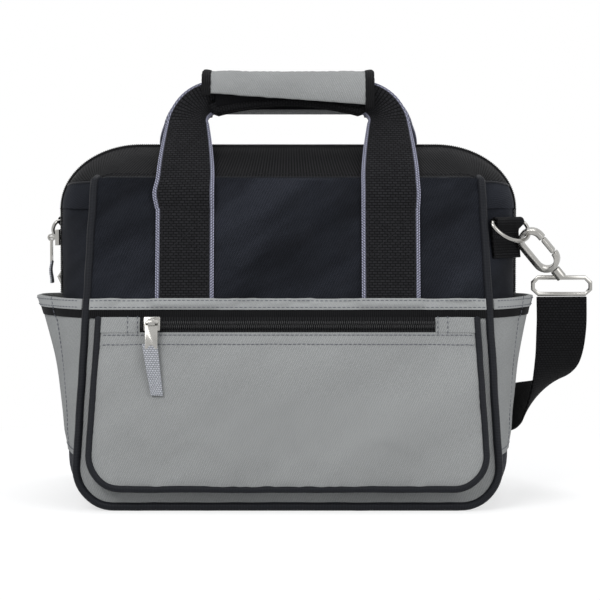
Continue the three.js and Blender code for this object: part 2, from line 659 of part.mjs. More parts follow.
// Bellows pocket on the front panel, leaning a little flatter than the panel
function frontPocket(panel) {
  const pocket = new THREE.Group();
  const tilt = Math.atan((POCKET_PROUD_LOW - POCKET_PROUD_HIGH) / POCKET_FOLD);
  pocket.position.set(0, -POCKET_PROUD_LOW, POCKET_BOTTOM);
  pocket.rotation.x = -tilt;
  panel.add(pocket);
  const top = POCKET_FOLD + ZIP_WINDOW_HEIGHT;
  const spreadOut = POCKET_HALF_WIDTH_LOW - POCKET_HALF_WIDTH_HIGH;
  const halfAt = (up) => POCKET_HALF_WIDTH_LOW - spreadOut * up / top;
  const outline = (inset, end) => roundOutline(halfAt, inset, inset, POCKET_RADIUS, end);
  const faceInset = POCKET_PIPING_DIAMETER + GAP;
  addPiece(pocket, 'pocket_face', pocketFace(halfAt, faceInset), GREY_CLOTH);
  const pipingLine = outline(POCKET_PIPING_DIAMETER / 2, top);
  const piping = pipingLine.map((p) => new THREE.Vector3(p.x, POCKET_FACE / 2, p.y));
  addPiece(pocket, 'pocket_piping', wire(piping, POCKET_PIPING_DIAMETER, 8, false), BLACK_TRIM);
  const wallTop = -(POCKET_FACE / 2 + POCKET_PIPING_DIAMETER / 2 + GAP);
  const wallSide = (inset) => outline(inset, top).map((p) => {
    const up = POCKET_BOTTOM + p.y * Math.cos(tilt) + wallTop * Math.sin(tilt);
    const out = POCKET_PROUD_LOW - p.y * Math.sin(tilt) + wallTop * Math.cos(tilt);
    return [new THREE.Vector3(p.x, -GAP, up), new THREE.Vector3(p.x, -out, up)];
  });
  const wallInset = POCKET_PIPING_DIAMETER / 2 - POCKET_WALL / 2;
  const wall = sheet(wallSide(wallInset), wallSide(wallInset + POCKET_WALL));
  addPiece(panel, 'pocket_gusset', wall, GREY_CLOTH);
  const low = POCKET_FOLD + GAP;
  const tape = rectangle(GAP - ZIP_WINDOW_HALF, ZIP_WINDOW_HALF - GAP, low, top);
  const tapeTop = -POCKET_TAPE_SINK;
  addPiece(pocket, 'pocket_zip_tape', plate(tape, tapeTop - POCKET_TAPE, tapeTop), ZIP_CLOTH);
  const middle = (POCKET_FOLD + top) / 2;
  const teeth = rectangle(GAP - ZIP_WINDOW_HALF, ZIP_WINDOW_HALF - GAP,
    middle - CHAIN_WIDTH / 2, middle + CHAIN_WIDTH / 2);
  const teethTop = tapeTop + GAP + CHAIN_THICKNESS;
  addPiece(pocket, 'pocket_zip_teeth', plate(teeth, tapeTop + GAP, teethTop), ZIP_CLOTH);
  const tabEnd = halfAt(top) - faceInset;
  const leftTab = rectangle(-tabEnd, -ZIP_WINDOW_HALF, low, top);
  const rightTab = rectangle(ZIP_WINDOW_HALF, tabEnd, low, top);
  addPiece(pocket, 'pocket_zip_end_left', plate(leftTab, -POCKET_FACE, 0), GREY_CLOTH);
  addPiece(pocket, 'pocket_zip_end_right', plate(rightTab, -POCKET_FACE, 0), GREY_CLOTH);
  const ribbon = panelStrip(upPanel(RIBBON_LOW), upPanel(BAND_LOW) - GAP);
  addPiece(panel, 'front_ribbon', plate(ribbon, GAP, GAP + RIBBON_THICKNESS), BLACK_TRIM);
  const slider = new THREE.Group();
  slider.position.set(POCKET_SLIDER_X, -teethTop - GAP, middle);
  pocket.add(slider);
  zipSlider(slider, 'pocket', SLIDER_LENGTH, SLIDER_WIDTH, POCKET_TAIL_LENGTH);
}

// Slot-shaped outline lying along X
function slotShape(Kind, left, right, width, clockwise) {
  const radius = width / 2;
  const shape = new Kind();
  if (clockwise) {
    shape.absarc(right - radius, 0, radius, Math.PI / 2, -Math.PI / 2, true);
    shape.absarc(left + radius, 0, radius, -Math.PI / 2, -1.5 * Math.PI, true);
  } else {
    shape.absarc(right - radius, 0, radius, -Math.PI / 2, Math.PI / 2);
    shape.absarc(left + radius, 0, radius, Math.PI / 2, 1.5 * Math.PI);
  }
  return shape;
}

function slotBlock(shape, depth) {
  const geometry = new THREE.ExtrudeGeometry(shape, { depth, bevelEnabled: false, curveSegments: 8 });
  geometry.translate(0, 0, -depth / 2);
  return geometry;
}

// Ring tab, ring, snap hook, gate and swivel loop at the front edge of a side's own gusset
function strapHardware(side, prefix, { ringTurn, aim }, [strapPoint, strapWay]) {
  const height = TAB_BAR_HEIGHT;
  const slopeX = -2 * (MIDDLE_HALF_WIDTH - gussetEdge(height)) * TAB_PLACE;
  const turn = Math.atan2(gussetHalfDepth(height), slopeX);
  const seat = (z) => new THREE.Vector3(gussetX(z, TAB_PLACE), TAB_PLACE * gussetHalfDepth(z), z);
  const outward = new THREE.Vector3(Math.sin(turn), -Math.cos(turn), 0);
  const leanBack = Math.atan(seat(height - 1).sub(seat(height)).dot(outward));
  const facing = new THREE.Group();
  facing.position.copy(seat(height));
  facing.rotation.z = turn;
  side.add(facing);
  const tab = new THREE.Group();
  tab.rotation.x = -leanBack;
  facing.add(tab);

  const barHole = RING_WIRE / 2 + EYE_CLEARANCE;
  const foldRadius = barHole + TAB_THICKNESS;
  const barOut = TAB_SEAT + foldRadius;
  const fold = crossBar(eyeRing(barOut, barHole, foldRadius), -TAB_WIDTH / 2, TAB_WIDTH / 2);
  const backShape = rectangle(-TAB_WIDTH / 2, TAB_WIDTH / 2, -TAB_DROP, 0);
  const back = plate(backShape, TAB_SEAT, TAB_SEAT + TAB_THICKNESS);
  addPiece(tab, `${prefix}_ring_tab`, joined(fold, back), BLACK_WEBBING);

  const ring = new THREE.Group();
  ring.position.y = -barOut;
  ring.rotation.x = -THREE.MathUtils.degToRad(RING_TILT);
  tab.add(ring);
  const barEnd = RING_HALF_WIDTH - RING_CORNER;
  const bow = RING_DROP - RING_CORNER;
  const onBow = (angle) => new THREE.Vector3(
    RING_HALF_WIDTH * Math.sin(angle), 0, -RING_CORNER - bow * Math.cos(angle));
  const corner = (sign, angle) => new THREE.Vector3(
    sign * (barEnd + RING_CORNER * Math.cos(angle)), 0, RING_CORNER * (Math.sin(angle) - 1));
  const ringLine = [
    ...spread(-Math.PI / 2, Math.PI / 2, 14).map(onBow),
    ...spread(0, Math.PI / 2, 3).slice(1).map((angle) => corner(1, angle)),
    ...spread(Math.PI / 2, 0, 3).slice(0, -1).map((angle) => corner(-1, angle)),
  ];
  addPiece(ring, `${prefix}_d_ring`, wire(ringLine, RING_WIRE, 8, true), NICKEL);

  side.updateMatrixWorld(true);
  const inSide = (group, point) => side.worldToLocal(group.localToWorld(point));
  const hookTurn = THREE.MathUtils.degToRad(ringTurn);
  const held = inSide(ring, onBow(hookTurn));
  const ringWay = inSide(ring, onBow(hookTurn + 0.01)).sub(held).normalize();
  const along = side.worldToLocal(new THREE.Vector3(...aim)).sub(held).normalize();
  const through = ringWay.clone().addScaledVector(along, -ringWay.dot(along)).normalize();
  const across = new THREE.Vector3().crossVectors(through, along);
  const innerHalf = HOOK_LENGTH / 2 - HOOK_WALL;
  const hookMiddle = held.clone().addScaledVector(along, innerHalf - RING_WIRE / 2 - HOOK_PLAY);
  const hook = new THREE.Group();
  hook.matrixAutoUpdate = false;
  hook.matrix.makeBasis(along, across, through).setPosition(hookMiddle);
  side.add(hook);
  const rim = slotShape(THREE.Shape, -HOOK_LENGTH / 2, HOOK_LENGTH / 2, HOOK_WIDTH, false);
  rim.holes.push(slotShape(THREE.Path, -innerHalf, innerHalf, HOOK_WIDTH - 2 * HOOK_WALL, true));
  const gateMiddle = HOOK_WALL / 2 - HOOK_WIDTH / 2;
  const gateWay = new THREE.BoxGeometry(GATE_LENGTH, 2 * HOOK_WALL, 2 * HOOK_DEPTH);
  gateWay.translate(GATE_START + GATE_LENGTH / 2, gateMiddle, 0);
  const frame = solidOf(slotBlock(rim, HOOK_DEPTH)).subtract(solidOf(gateWay));
  addPiece(hook, `${prefix}_snap_hook`, geometryOf(frame), NICKEL);
  const gateShape = slotShape(THREE.Shape, GATE_START + GATE_GAP, GATE_START + GATE_LENGTH - GATE_GAP,
    GATE_WALL, false);
  const gate = slotBlock(gateShape, GATE_DEPTH);
  gate.translate(0, gateMiddle, 0);
  addPiece(hook, `${prefix}_hook_gate`, gate, NICKEL);

  const barrel = new THREE.CylinderGeometry(SWIVEL_DIAMETER / 2, SWIVEL_DIAMETER / 2, SWIVEL_LENGTH, 16);
  barrel.rotateZ(Math.PI / 2);
  barrel.translate(HOOK_LENGTH / 2 + GAP + SWIVEL_LENGTH / 2, 0, 0);
  barrel.applyMatrix4(hook.matrix);
  const loopTop = hookMiddle.clone().addScaledVector(along, HOOK_LENGTH / 2 + GAP + SWIVEL_LENGTH);
  const strapLie = new THREE.Vector3(...strapWay).applyQuaternion(side.quaternion.clone().invert());
  const loopFoot = side.worldToLocal(new THREE.Vector3(...strapPoint));
  loopFoot.z += LOOP_WIRE / 2 + GAP;
  const down = loopFoot.clone().sub(loopTop);
  const drop = down.length();
  down.normalize();
  const loopHalf = (LOOP_INNER_WIDTH + LOOP_WIRE) / 2;
  const cut = LOOP_CORNER;
  const corners = [
    [cut - loopHalf, 0], [0, 0], [loopHalf - cut, 0], [loopHalf, cut],
    [loopHalf, drop - cut], [loopHalf - cut, drop], [cut - loopHalf, drop],
    [-loopHalf, drop - cut], [-loopHalf, cut],
  ];
  const loopLine = corners.map(([x, fall]) => loopTop.clone()
    .addScaledVector(strapLie, x)
    .addScaledVector(down, fall));
  addPiece(side, `${prefix}_swivel_loop`, joined(barrel, wire(loopLine, LOOP_WIRE, 8, true)), NICKEL);
}

// Shoulder strap behind the bag, from the right-hand loop to the left-hand one
function shoulderStrap() {
  const route = new THREE.CatmullRomCurve3(STRAP_ROUTE.map(([point]) => new THREE.Vector3(...point)));
  const lie = new THREE.CatmullRomCurve3(STRAP_ROUTE.map(([, way]) => new THREE.Vector3(...way)));
  const face = (side) => spread(0, 1, STRAP_STEPS).map((t) => {
    const point = route.getPoint(t);
    const tangent = route.getTangent(t);
    const width = lie.getPoint(t);
    width.addScaledVector(tangent, -width.dot(tangent)).normalize();
    const normal = new THREE.Vector3().crossVectors(tangent, width);
    return [-0.5, 0.5].map((edge) => point.clone()
      .addScaledVector(width, edge * STRAP_WIDTH)
      .addScaledVector(normal, side * STRAP / 2));
  });
  return sheet(face(1), face(-1));
}

// Three-bar slide on the stretch of strap that lies on the floor
function strapAdjuster() {
  const frame = new THREE.BoxGeometry(ADJUSTER_LENGTH, STRAP_WIDTH + 2 * ADJUSTER_BAR, ADJUSTER_THICKNESS);
  const slotLength = (ADJUSTER_LENGTH - 3 * ADJUSTER_BAR) / 2;
  let solid = solidOf(frame);
  for (const sign of [-1, 1]) {
    const slot = new THREE.BoxGeometry(slotLength, STRAP_WIDTH, 2 * ADJUSTER_THICKNESS);
    slot.translate(sign * (ADJUSTER_BAR + slotLength) / 2, 0, 0);
    solid = solid.subtract(solidOf(slot));
  }
  const [x, y, z] = ADJUSTER_PLACE;
  return geometryOf(solid).translate(x, y, z + STRAP / 2 + GAP + ADJUSTER_THICKNESS / 2);
}

// Assembly
const bag = new THREE.Group();
addPiece(bag, 'base_panel', basePanel(), BLACK_CLOTH);
const boardHalfLength = gussetEdge(0) - CORNER_RADIUS - BOARD_MARGIN;
const boardHalfDepth = gussetHalfDepth(CLOTH) - CLOTH - BOARD_MARGIN;
const board = new THREE.BoxGeometry(2 * boardHalfLength, 2 * boardHalfDepth, BOARD_THICKNESS);
board.translate(0, 0, CLOTH + GAP + BOARD_THICKNESS / 2);
addPiece(bag, 'base_board', board, BOARD);

const front = bagHalf('front', FRONT_PAD_SWEEP);
frontPocket(front.panel);
bag.add(front.half);
const rear = bagHalf('rear', REAR_PAD_SWEEP);
rear.half.rotation.z = Math.PI;
bag.add(rear.half);

const right = new THREE.Group();
bag.add(right);
sideWall(right, 'right', RIGHT_POCKET_GAPE);
strapHardware(right, 'right', RIGHT_HOOK, STRAP_ROUTE[0]);
const left = new THREE.Group();
left.rotation.z = Math.PI;
bag.add(left);
sideWall(left, 'left', LEFT_POCKET_GAPE);
strapHardware(left, 'left', LEFT_HOOK, STRAP_ROUTE[STRAP_ROUTE.length - 1]);

const mainSlider = new THREE.Group();
mainSlider.position.set(-(MIDDLE_HALF_WIDTH + CHAIN_THICKNESS + 2 * GAP), 0, MAIN_SLIDER_HEIGHT);
mainSlider.rotation.z = -Math.PI / 2;
zipSlider(mainSlider, 'main', SLIDER_WIDTH, SLIDER_LENGTH, MAIN_TAIL_LENGTH);
bag.add(mainSlider);

addPiece(bag, 'shoulder_strap', shoulderStrap(), BLACK_WEBBING);
addPiece(bag, 'strap_adjuster', strapAdjuster(), BOARD);

export default bag;
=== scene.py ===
# %% [markdown]
# # A tool tote bag
# The bag is a padded cloth box that leans in towards a zipped mouth. The frame that is loaded here
# is the solid model, in metres, with the bag's front towards -Y and its base on the floor. Every
# soft piece below is made as real cloth is cut: an outer sheet first, then its thickness.

# %% Load the frame
import math
import bpy
import bmesh
from mathutils import Matrix, Vector, noise
from mathutils.bvhtree import BVHTree


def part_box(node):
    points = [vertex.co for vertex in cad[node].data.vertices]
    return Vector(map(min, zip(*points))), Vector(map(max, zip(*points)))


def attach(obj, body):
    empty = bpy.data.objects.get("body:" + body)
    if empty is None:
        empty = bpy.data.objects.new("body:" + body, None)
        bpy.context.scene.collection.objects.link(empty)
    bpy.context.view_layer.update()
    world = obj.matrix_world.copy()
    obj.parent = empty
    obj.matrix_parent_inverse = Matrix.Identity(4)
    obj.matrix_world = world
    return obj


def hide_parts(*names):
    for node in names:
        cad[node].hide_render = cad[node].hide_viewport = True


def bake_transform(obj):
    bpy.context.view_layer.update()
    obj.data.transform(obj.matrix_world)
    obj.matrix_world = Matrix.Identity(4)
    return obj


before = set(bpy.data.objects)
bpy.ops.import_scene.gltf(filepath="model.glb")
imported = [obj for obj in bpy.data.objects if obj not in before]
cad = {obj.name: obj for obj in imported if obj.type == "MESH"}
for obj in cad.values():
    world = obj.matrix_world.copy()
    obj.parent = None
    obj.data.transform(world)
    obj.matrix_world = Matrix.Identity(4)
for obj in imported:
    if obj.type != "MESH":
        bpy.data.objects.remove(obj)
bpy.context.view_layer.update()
MM = 0.001

# %% [markdown]
# The same few sizes describe the whole bag, so they are named once. A panel point is given by how
# far it lies across, how far up the leaning panel and how far out of it. The rear half and the left
# side are the front half and the right side turned half a turn about the upright axis.

# %% Sizes and shape of the bag
BASE_HALF_WIDTH = 158 * MM
SEAM_HALF_WIDTH = 146.5 * MM
BASE_HALF_DEPTH = 95 * MM
SEAM_HALF_DEPTH = 45 * MM
SEAM_HEIGHT = 240 * MM
MIDDLE_HALF_WIDTH = 172 * MM
SIDE_TAPER = 6.5 * MM
SIDE_FULL_HEIGHT = 150 * MM
CORNER_RADIUS = 31 * MM
CLOTH = 2.4 * MM
PIPING_DIAMETER = 6 * MM
PIPING_SINK = 1 * MM
PIPING_LIFT = 0.4 * MM
BASE_WRAP_HEIGHT = 42 * MM
FOLD_HEIGHT = 218 * MM
BAND_LOW = 144 * MM
BAND_HIGH = 152 * MM
RIBBON_LOW = 138 * MM
LEAN = math.atan((BASE_HALF_DEPTH - SEAM_HALF_DEPTH) / SEAM_HEIGHT)
PIPING_RADIUS = PIPING_DIAMETER / 2
GUSSET_SETBACK = (PIPING_SINK + PIPING_RADIUS + 0.9 * MM) / math.cos(LEAN)
SEAM = SEAM_HEIGHT / math.cos(LEAN)
FOLD = FOLD_HEIGHT / math.cos(LEAN)


def up_panel(height):
    return height / math.cos(LEAN)


def panel_half(up):
    return BASE_HALF_WIDTH + (SEAM_HALF_WIDTH - BASE_HALF_WIDTH) * up / SEAM


def half_turn(point, wanted=True):
    """The point turned half a turn about the upright axis, where that is wanted."""
    return Vector((-point.x, -point.y, point.z)) if wanted else point


def on_panel(x, up, out=0.0, rear=False):
    y = -BASE_HALF_DEPTH + up * math.sin(LEAN) - out * math.cos(LEAN)
    point = Vector((x, y, up * math.cos(LEAN) + out * math.sin(LEAN)))
    return half_turn(point, rear)


def gusset_edge(height):
    return panel_half(up_panel(height)) - PIPING_RADIUS


def gusset_depth(height):
    return BASE_HALF_DEPTH - height * math.tan(LEAN) - GUSSET_SETBACK


def on_gusset(height, across, out=0.0, left=False):
    edge = gusset_edge(height)
    middle = MIDDLE_HALF_WIDTH - SIDE_TAPER * max(1 - height / SIDE_FULL_HEIGHT, 0)
    x = edge + (middle - edge) * (1 - across * across) + out
    point = Vector((x, across * gusset_depth(height), height))
    return half_turn(point, left)


def spread(first, last, steps):
    return [first + (last - first) * i / steps for i in range(steps + 1)]


HALVES = (("front", False), ("rear", True))
SIGNS = (("left", -1), ("right", 1))
print("panel leans", round(math.degrees(LEAN), 1), "degrees, seam at", SEAM_HEIGHT)

# %% [markdown]
# The photograph was taken almost straight at the front, a little above the middle of the bag, with
# a long lens. The floor and the backdrop are white to the camera and to the metal, and pale
# to everything else, so the bag keeps its shadow. Three large soft lamps light it evenly.

# %% Camera, floor and light
AIM = Vector((9 * MM, -95 * MM, 153 * MM))
VIEW_DISTANCE = 1.5
VIEW_ELEVATION = math.radians(3)
VIEW_WIDTH = 432 * MM
FLOOR = 4.0
SHADOW_NEAR = 0.24
SHADOW_FAR = 0.5
LAMP_AIM = Vector((0, 0, 0.14))
WHITE = (1, 1, 1, 1)

scene = bpy.context.scene
scene.view_settings.view_transform = "Standard"
lens = bpy.data.cameras.new("photo_lens")
lens.sensor_width = 36
lens.lens = 36 * VIEW_DISTANCE / VIEW_WIDTH
camera = bpy.data.objects.new("photo_camera", lens)
scene.collection.objects.link(camera)
away = Vector((0, -math.cos(VIEW_ELEVATION), math.sin(VIEW_ELEVATION)))
camera.location = AIM + away * VIEW_DISTANCE
camera.rotation_euler = (-away).to_track_quat("-Z", "Y").to_euler()
scene.camera = camera


def add_node(tree, kind, inputs=None, **settings):
    """One shader node; an input is a number, a colour or another node's socket."""
    made = tree.nodes.new(kind)
    for key, value in settings.items():
        setattr(made, key, value)
    for key, value in (inputs or {}).items():
        if isinstance(value, bpy.types.NodeSocket):
            tree.links.new(value, made.inputs[key])
        else:
            made.inputs[key].default_value = value
    return made


def new_material(name):
    material = bpy.data.materials.new(name)
    material.use_nodes = True
    tree = material.node_tree
    tree.nodes.clear()
    return material, tree


def math_node(tree, operation, first, second=0.0):
    return add_node(tree, "ShaderNodeMath", {0: first, 1: second}, operation=operation).outputs[0]


def ranged(tree, value, **limits):
    """A value moved between ranges; the limits are from_min, from_max, to_min and to_max."""
    named = {key.replace("_", " ").title(): limit for key, limit in limits.items()}
    return add_node(tree, "ShaderNodeMapRange", {"Value": value, **named}).outputs[0]


def mix_shaders(tree, amount, first, second):
    return add_node(tree, "ShaderNodeMixShader", {0: amount, 1: first.outputs[0], 2: second.outputs[0]})


def seen_directly(tree):
    """1 where the camera, a mirror or clear glass looks, and 0 for the light on the bag."""
    path = add_node(tree, "ShaderNodeLightPath").outputs
    seen = math_node(tree, "MAXIMUM", path["Is Camera Ray"], path["Is Glossy Ray"])
    return math_node(tree, "MAXIMUM", seen, path["Is Transmission Ray"])


world = bpy.data.worlds.new("studio")
scene.world = world
world.use_nodes = True
sky = world.node_tree
sky.nodes.clear()
ambient = add_node(sky, "ShaderNodeBackground", {"Color": (0.93, 0.96, 1, 1), "Strength": 0.42})
backdrop = add_node(sky, "ShaderNodeBackground", {"Color": WHITE, "Strength": 1.0})
choice = mix_shaders(sky, seen_directly(sky), ambient, backdrop)
add_node(sky, "ShaderNodeOutputWorld", {"Surface": choice.outputs[0]})

paper, tree = new_material("white_paper")
matte = add_node(tree, "ShaderNodeBsdfDiffuse", {"Color": (0.8, 0.8, 0.8, 1)})
shadow_side = add_node(tree, "ShaderNodeBsdfDiffuse", {"Color": (0.42, 0.42, 0.42, 1)})
glow = add_node(tree, "ShaderNodeEmission", {"Color": WHITE, "Strength": 0.66})
near = add_node(tree, "ShaderNodeAddShader", {0: shadow_side.outputs[0], 1: glow.outputs[0]})
far = add_node(tree, "ShaderNodeEmission", {"Color": WHITE, "Strength": 1.0})
place = add_node(tree, "ShaderNodeTexCoord")
distance = add_node(tree, "ShaderNodeVectorMath", {0: place.outputs["Object"]}, operation="LENGTH")
faded = ranged(tree, distance.outputs["Value"], from_min=SHADOW_NEAR, from_max=SHADOW_FAR)
lit = mix_shaders(tree, faded, near, far)
shown = mix_shaders(tree, seen_directly(tree), matte, lit)
add_node(tree, "ShaderNodeOutputMaterial", {"Surface": shown.outputs[0]})
floor_mesh = bpy.data.meshes.new("floor")
corners = [(-FLOOR, -FLOOR, 0), (FLOOR, -FLOOR, 0), (FLOOR, FLOOR, 0), (-FLOOR, FLOOR, 0)]
floor_mesh.from_pydata(corners, [], [(0, 1, 2, 3)])
floor_mesh.materials.append(paper)
floor = bpy.data.objects.new("floor", floor_mesh)
scene.collection.objects.link(floor)


def soft_lamp(name, place, size, power):
    data = bpy.data.lights.new(name, "AREA")
    data.size = size
    data.energy = power
    lamp = bpy.data.objects.new(name, data)
    scene.collection.objects.link(lamp)
    lamp.location = place
    lamp.rotation_euler = (LAMP_AIM - lamp.location).to_track_quat("-Z", "Y").to_euler()


soft_lamp("key_lamp", Vector((-0.9, -1.5, 1.5)), size=1.1, power=22)
soft_lamp("fill_lamp", Vector((1.4, -1.1, 0.9)), size=1.2, power=11)
soft_lamp("top_lamp", Vector((0.1, 0.5, 1.9)), size=1.2, power=14)
print("camera", [round(v, 3) for v in camera.location], "lens", round(lens.lens, 1), "mm")

# %% [markdown]
# Most pieces are sheets: a grid of points seen from outside, left to right and bottom to top. Its
# UV map is laid out in metres, so that a weave keeps its size on every piece. Round pieces are
# tubes along a path. Both get their thickness, their soft edges and their smooth shading here.

# %% Mesh helpers
def mesh_object(name, points, faces, face_uvs, material):
    mesh = bpy.data.meshes.new(name)
    mesh.from_pydata([tuple(p) for p in points], [], faces)
    layer = mesh.uv_layers.new(name="cloth")
    flat = [value for uvs in face_uvs for uv in uvs for value in uv]
    layer.data.foreach_set("uv", flat)
    mesh.materials.append(material)
    made = bpy.data.objects.new(name, mesh)
    scene.collection.objects.link(made)
    return made


def running_length(points):
    total = [0.0]
    for before, after in zip(points, points[1:]):
        total.append(total[-1] + (after - before).length)
    return total


BAG_MIDDLE = Vector((0, 0, 120 * MM))


def sheet_piece(name, rows, material, uv=None, inside=BAG_MIDDLE):
    """An open sheet from rows of points, facing away from inside; uv gives (u, v) for row i, column j."""
    across = running_length(rows[len(rows) // 2])
    upward = running_length([row[len(row) // 2] for row in rows])
    place = uv or (lambda i, j: (across[j], upward[i]))
    wide = len(rows[0])
    faces, face_uvs = [], []
    for i in range(len(rows) - 1):
        for j in range(wide - 1):
            corners = [(i, j), (i, j + 1), (i + 1, j + 1), (i + 1, j)]
            faces.append([a * wide + b for a, b in corners])
            face_uvs.append([place(a, b) for a, b in corners])
    made = mesh_object(name, [p for row in rows for p in row], faces, face_uvs, material)
    outward = sum(f.area * f.normal.dot(f.center - inside) for f in made.data.polygons)
    if outward < 0:
        made.data.flip_normals()
    return made


def apply_modifiers(piece):
    graph = bpy.context.evaluated_depsgraph_get()
    settled = bpy.data.meshes.new_from_object(piece.evaluated_get(graph))
    piece.modifiers.clear()
    old = piece.data
    piece.data = settled
    settled.name = piece.name
    bpy.data.meshes.remove(old)


def shade(piece, angle=40):
    piece.data.polygons.foreach_set("use_smooth", [True] * len(piece.data.polygons))
    piece.data.set_sharp_from_angle(angle=math.radians(angle))


def soften(piece, width, segments, angle):
    soft = piece.modifiers.new("edge", "BEVEL")
    soft.width = width
    soft.segments = segments
    soft.limit_method = "ANGLE"
    soft.angle_limit = math.radians(angle)


def thicken(piece, thickness, edge=0.0, offset=-1.0):
    """Gives a sheet its wall, inwards from the outer face, and rounds its cut edges."""
    wall = piece.modifiers.new("wall", "SOLIDIFY")
    wall.thickness = thickness
    wall.offset = offset
    wall.use_even_offset = False
    if edge:
        soften(piece, edge, segments=2, angle=50)
    apply_modifiers(piece)
    shade(piece)


def fix_normals(piece):
    shape = bmesh.new()
    shape.from_mesh(piece.data)
    bmesh.ops.recalc_face_normals(shape, faces=shape.faces)
    shape.to_mesh(piece.data)
    shape.free()


def tube_piece(name, line, radius, material, sides=12):
    """A round tube along a line of points, with blunt tips."""
    last = len(line) - 1
    vertices, normal, before = [], None, None
    for i, point in enumerate(line):
        tangent = (line[min(i + 1, last)] - line[max(i - 1, 0)]).normalized()
        if normal is None:
            guide = Vector((0, 0, 1)) if abs(tangent.z) < 0.9 else Vector((0, 1, 0))
            normal = tangent.cross(guide).normalized()
        else:
            normal = before.rotation_difference(tangent) @ normal
        before = tangent
        second = tangent.cross(normal)
        for k in range(sides):
            turn = 2 * math.pi * k / sides
            vertices.append(point + (normal * math.cos(turn) + second * math.sin(turn)) * radius)
    along = running_length(line)
    girth = 2 * math.pi * radius / sides
    faces, face_uvs = [], []
    for i in range(last):
        for k in range(sides):
            corners = [(i, k), (i + 1, k), (i + 1, k + 1), (i, k + 1)]
            faces.append([a * sides + b % sides for a, b in corners])
            face_uvs.append([(b * girth, along[a]) for a, b in corners])
    for end, inner, first, way in ((line[0], line[1], 0, 1), (line[-1], line[-2], last * sides, -1)):
        vertices.append(end + (end - inner).normalized() * radius * 0.6)
        for k in range(sides):
            pair = [first + k, first + (k + 1) % sides]
            faces.append([len(vertices) - 1] + pair[::way])
            face_uvs.append([(0, 0)] * 3)
    made = mesh_object(name, vertices, faces, face_uvs, material)
    fix_normals(made)
    shade(made, angle=60)
    return made


def put(piece, body, nodes=(), bend=None):
    """Hands a finished piece to its body; with a bend, its transform is baked in instead and it is left
    without a body, and the bend's body and heights are not used.
    """
    if nodes:
        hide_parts(*nodes)
    if bend:
        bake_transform(piece)
    else:
        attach(piece, body)
    return piece


def sewn_piece(name, rows, material, thickness, slot, nodes=(), bend=None, body="root", edge=0.0,
               offset=-1.0, **layout):
    """A sheet with its thickness, handed to its body; layout may hold uv and inside."""
    piece = sheet_piece(name, rows, material, **layout)
    thicken(piece, thickness, edge, offset)
    return put(piece, body, nodes, bend)


print("helpers ready")

# %% [markdown]
# The bag's cloth is a woven polyester, grey below and blue-black above. Up close it is a fine slanting
# weave; from a step away it only reads as a soft, slightly uneven surface. One recipe makes both
# colours: two crossing waves give the threads, and a noise stretched along a slant paints the light
# and shade of soft folds into the colour.

# %% Cloth finishes
def uv_lengths(tree):
    """The piece's own cloth coordinates, in metres across and along."""
    place = add_node(tree, "ShaderNodeUVMap", uv_map="cloth")
    split = add_node(tree, "ShaderNodeSeparateXYZ", {0: place.outputs[0]})
    return place.outputs[0], split.outputs[0], split.outputs[1]


def weighed(tree, first, share, second, other_share):
    """The sum of two values, each times its share."""
    return math_node(tree, "ADD", math_node(tree, "MULTIPLY", first, share),
                     math_node(tree, "MULTIPLY", second, other_share))


def wave(tree, distance, pitch):
    """A thread profile from 0 to 1 that repeats every pitch metres."""
    turn = math_node(tree, "MULTIPLY", distance, 2 * math.pi / pitch)
    return ranged(tree, math_node(tree, "SINE", turn), from_min=-1.0, from_max=1.0)


def mixed(tree, amount, dark, light):
    node = add_node(tree, "ShaderNodeMix", data_type="RGBA")
    for socket, value in ((node.inputs[0], amount), (node.inputs[6], dark), (node.inputs[7], light)):
        if isinstance(value, bpy.types.NodeSocket):
            tree.links.new(value, socket)
        else:
            socket.default_value = value
    return node.outputs[2]


def slow_noise(tree, scale, detail=3.0):
    place = add_node(tree, "ShaderNodeTexCoord")
    return add_node(tree, "ShaderNodeTexNoise", {"Vector": place.outputs["Object"], "Scale": scale,
                    "Detail": detail}).outputs[0]


def shaded(colour, factor):
    return (colour[0] * factor, colour[1] * factor, colour[2] * factor, 1)


def finish_shader(tree, colour, height, depth, roughness, sheen=0.0, metal=0.0, spread_of=0.15, gloss=0.05):
    """Joins colour, thread height and roughness into one surface; yarn has little gloss, nylon more."""
    bump = add_node(tree, "ShaderNodeBump", {"Strength": 0.6, "Distance": depth, "Height": height})
    rough = ranged(tree, slow_noise(tree, 55), to_min=roughness - spread_of, to_max=roughness + spread_of)
    surface = add_node(tree, "ShaderNodeBsdfPrincipled", {"Base Color": colour, "Metallic": metal,
                       "Roughness": rough, "Normal": bump.outputs[0], "Sheen Weight": sheen,
                       "Sheen Roughness": 0.5})
    if not metal:
        surface.inputs["Specular IOR Level"].default_value = gloss
    add_node(tree, "ShaderNodeOutputMaterial", {"Surface": surface.outputs[0]})


# Slant and stretch of the painted fold shading.
FOLD_SLANT = math.radians(-35)
FOLD_SIZE = (0.12, 0.12, 0.035)


def painted_fold_shading(tree):
    """Painted light and shade of soft folds: long slanting streaks, from 0 to 1, that darken and lighten the
    colour.
    """
    place = add_node(tree, "ShaderNodeTexCoord")
    turned = add_node(tree, "ShaderNodeMapping", {"Vector": place.outputs["Object"],
                      "Rotation": (0, FOLD_SLANT, 0), "Scale": FOLD_SIZE}, vector_type="TEXTURE")
    fold_shade_mask = add_node(tree, "ShaderNodeTexNoise", {"Vector": turned.outputs[0], "Scale": 1.0, "Detail": 3.0})
    return ranged(tree, fold_shade_mask.outputs[0], from_min=0.36, from_max=0.66)


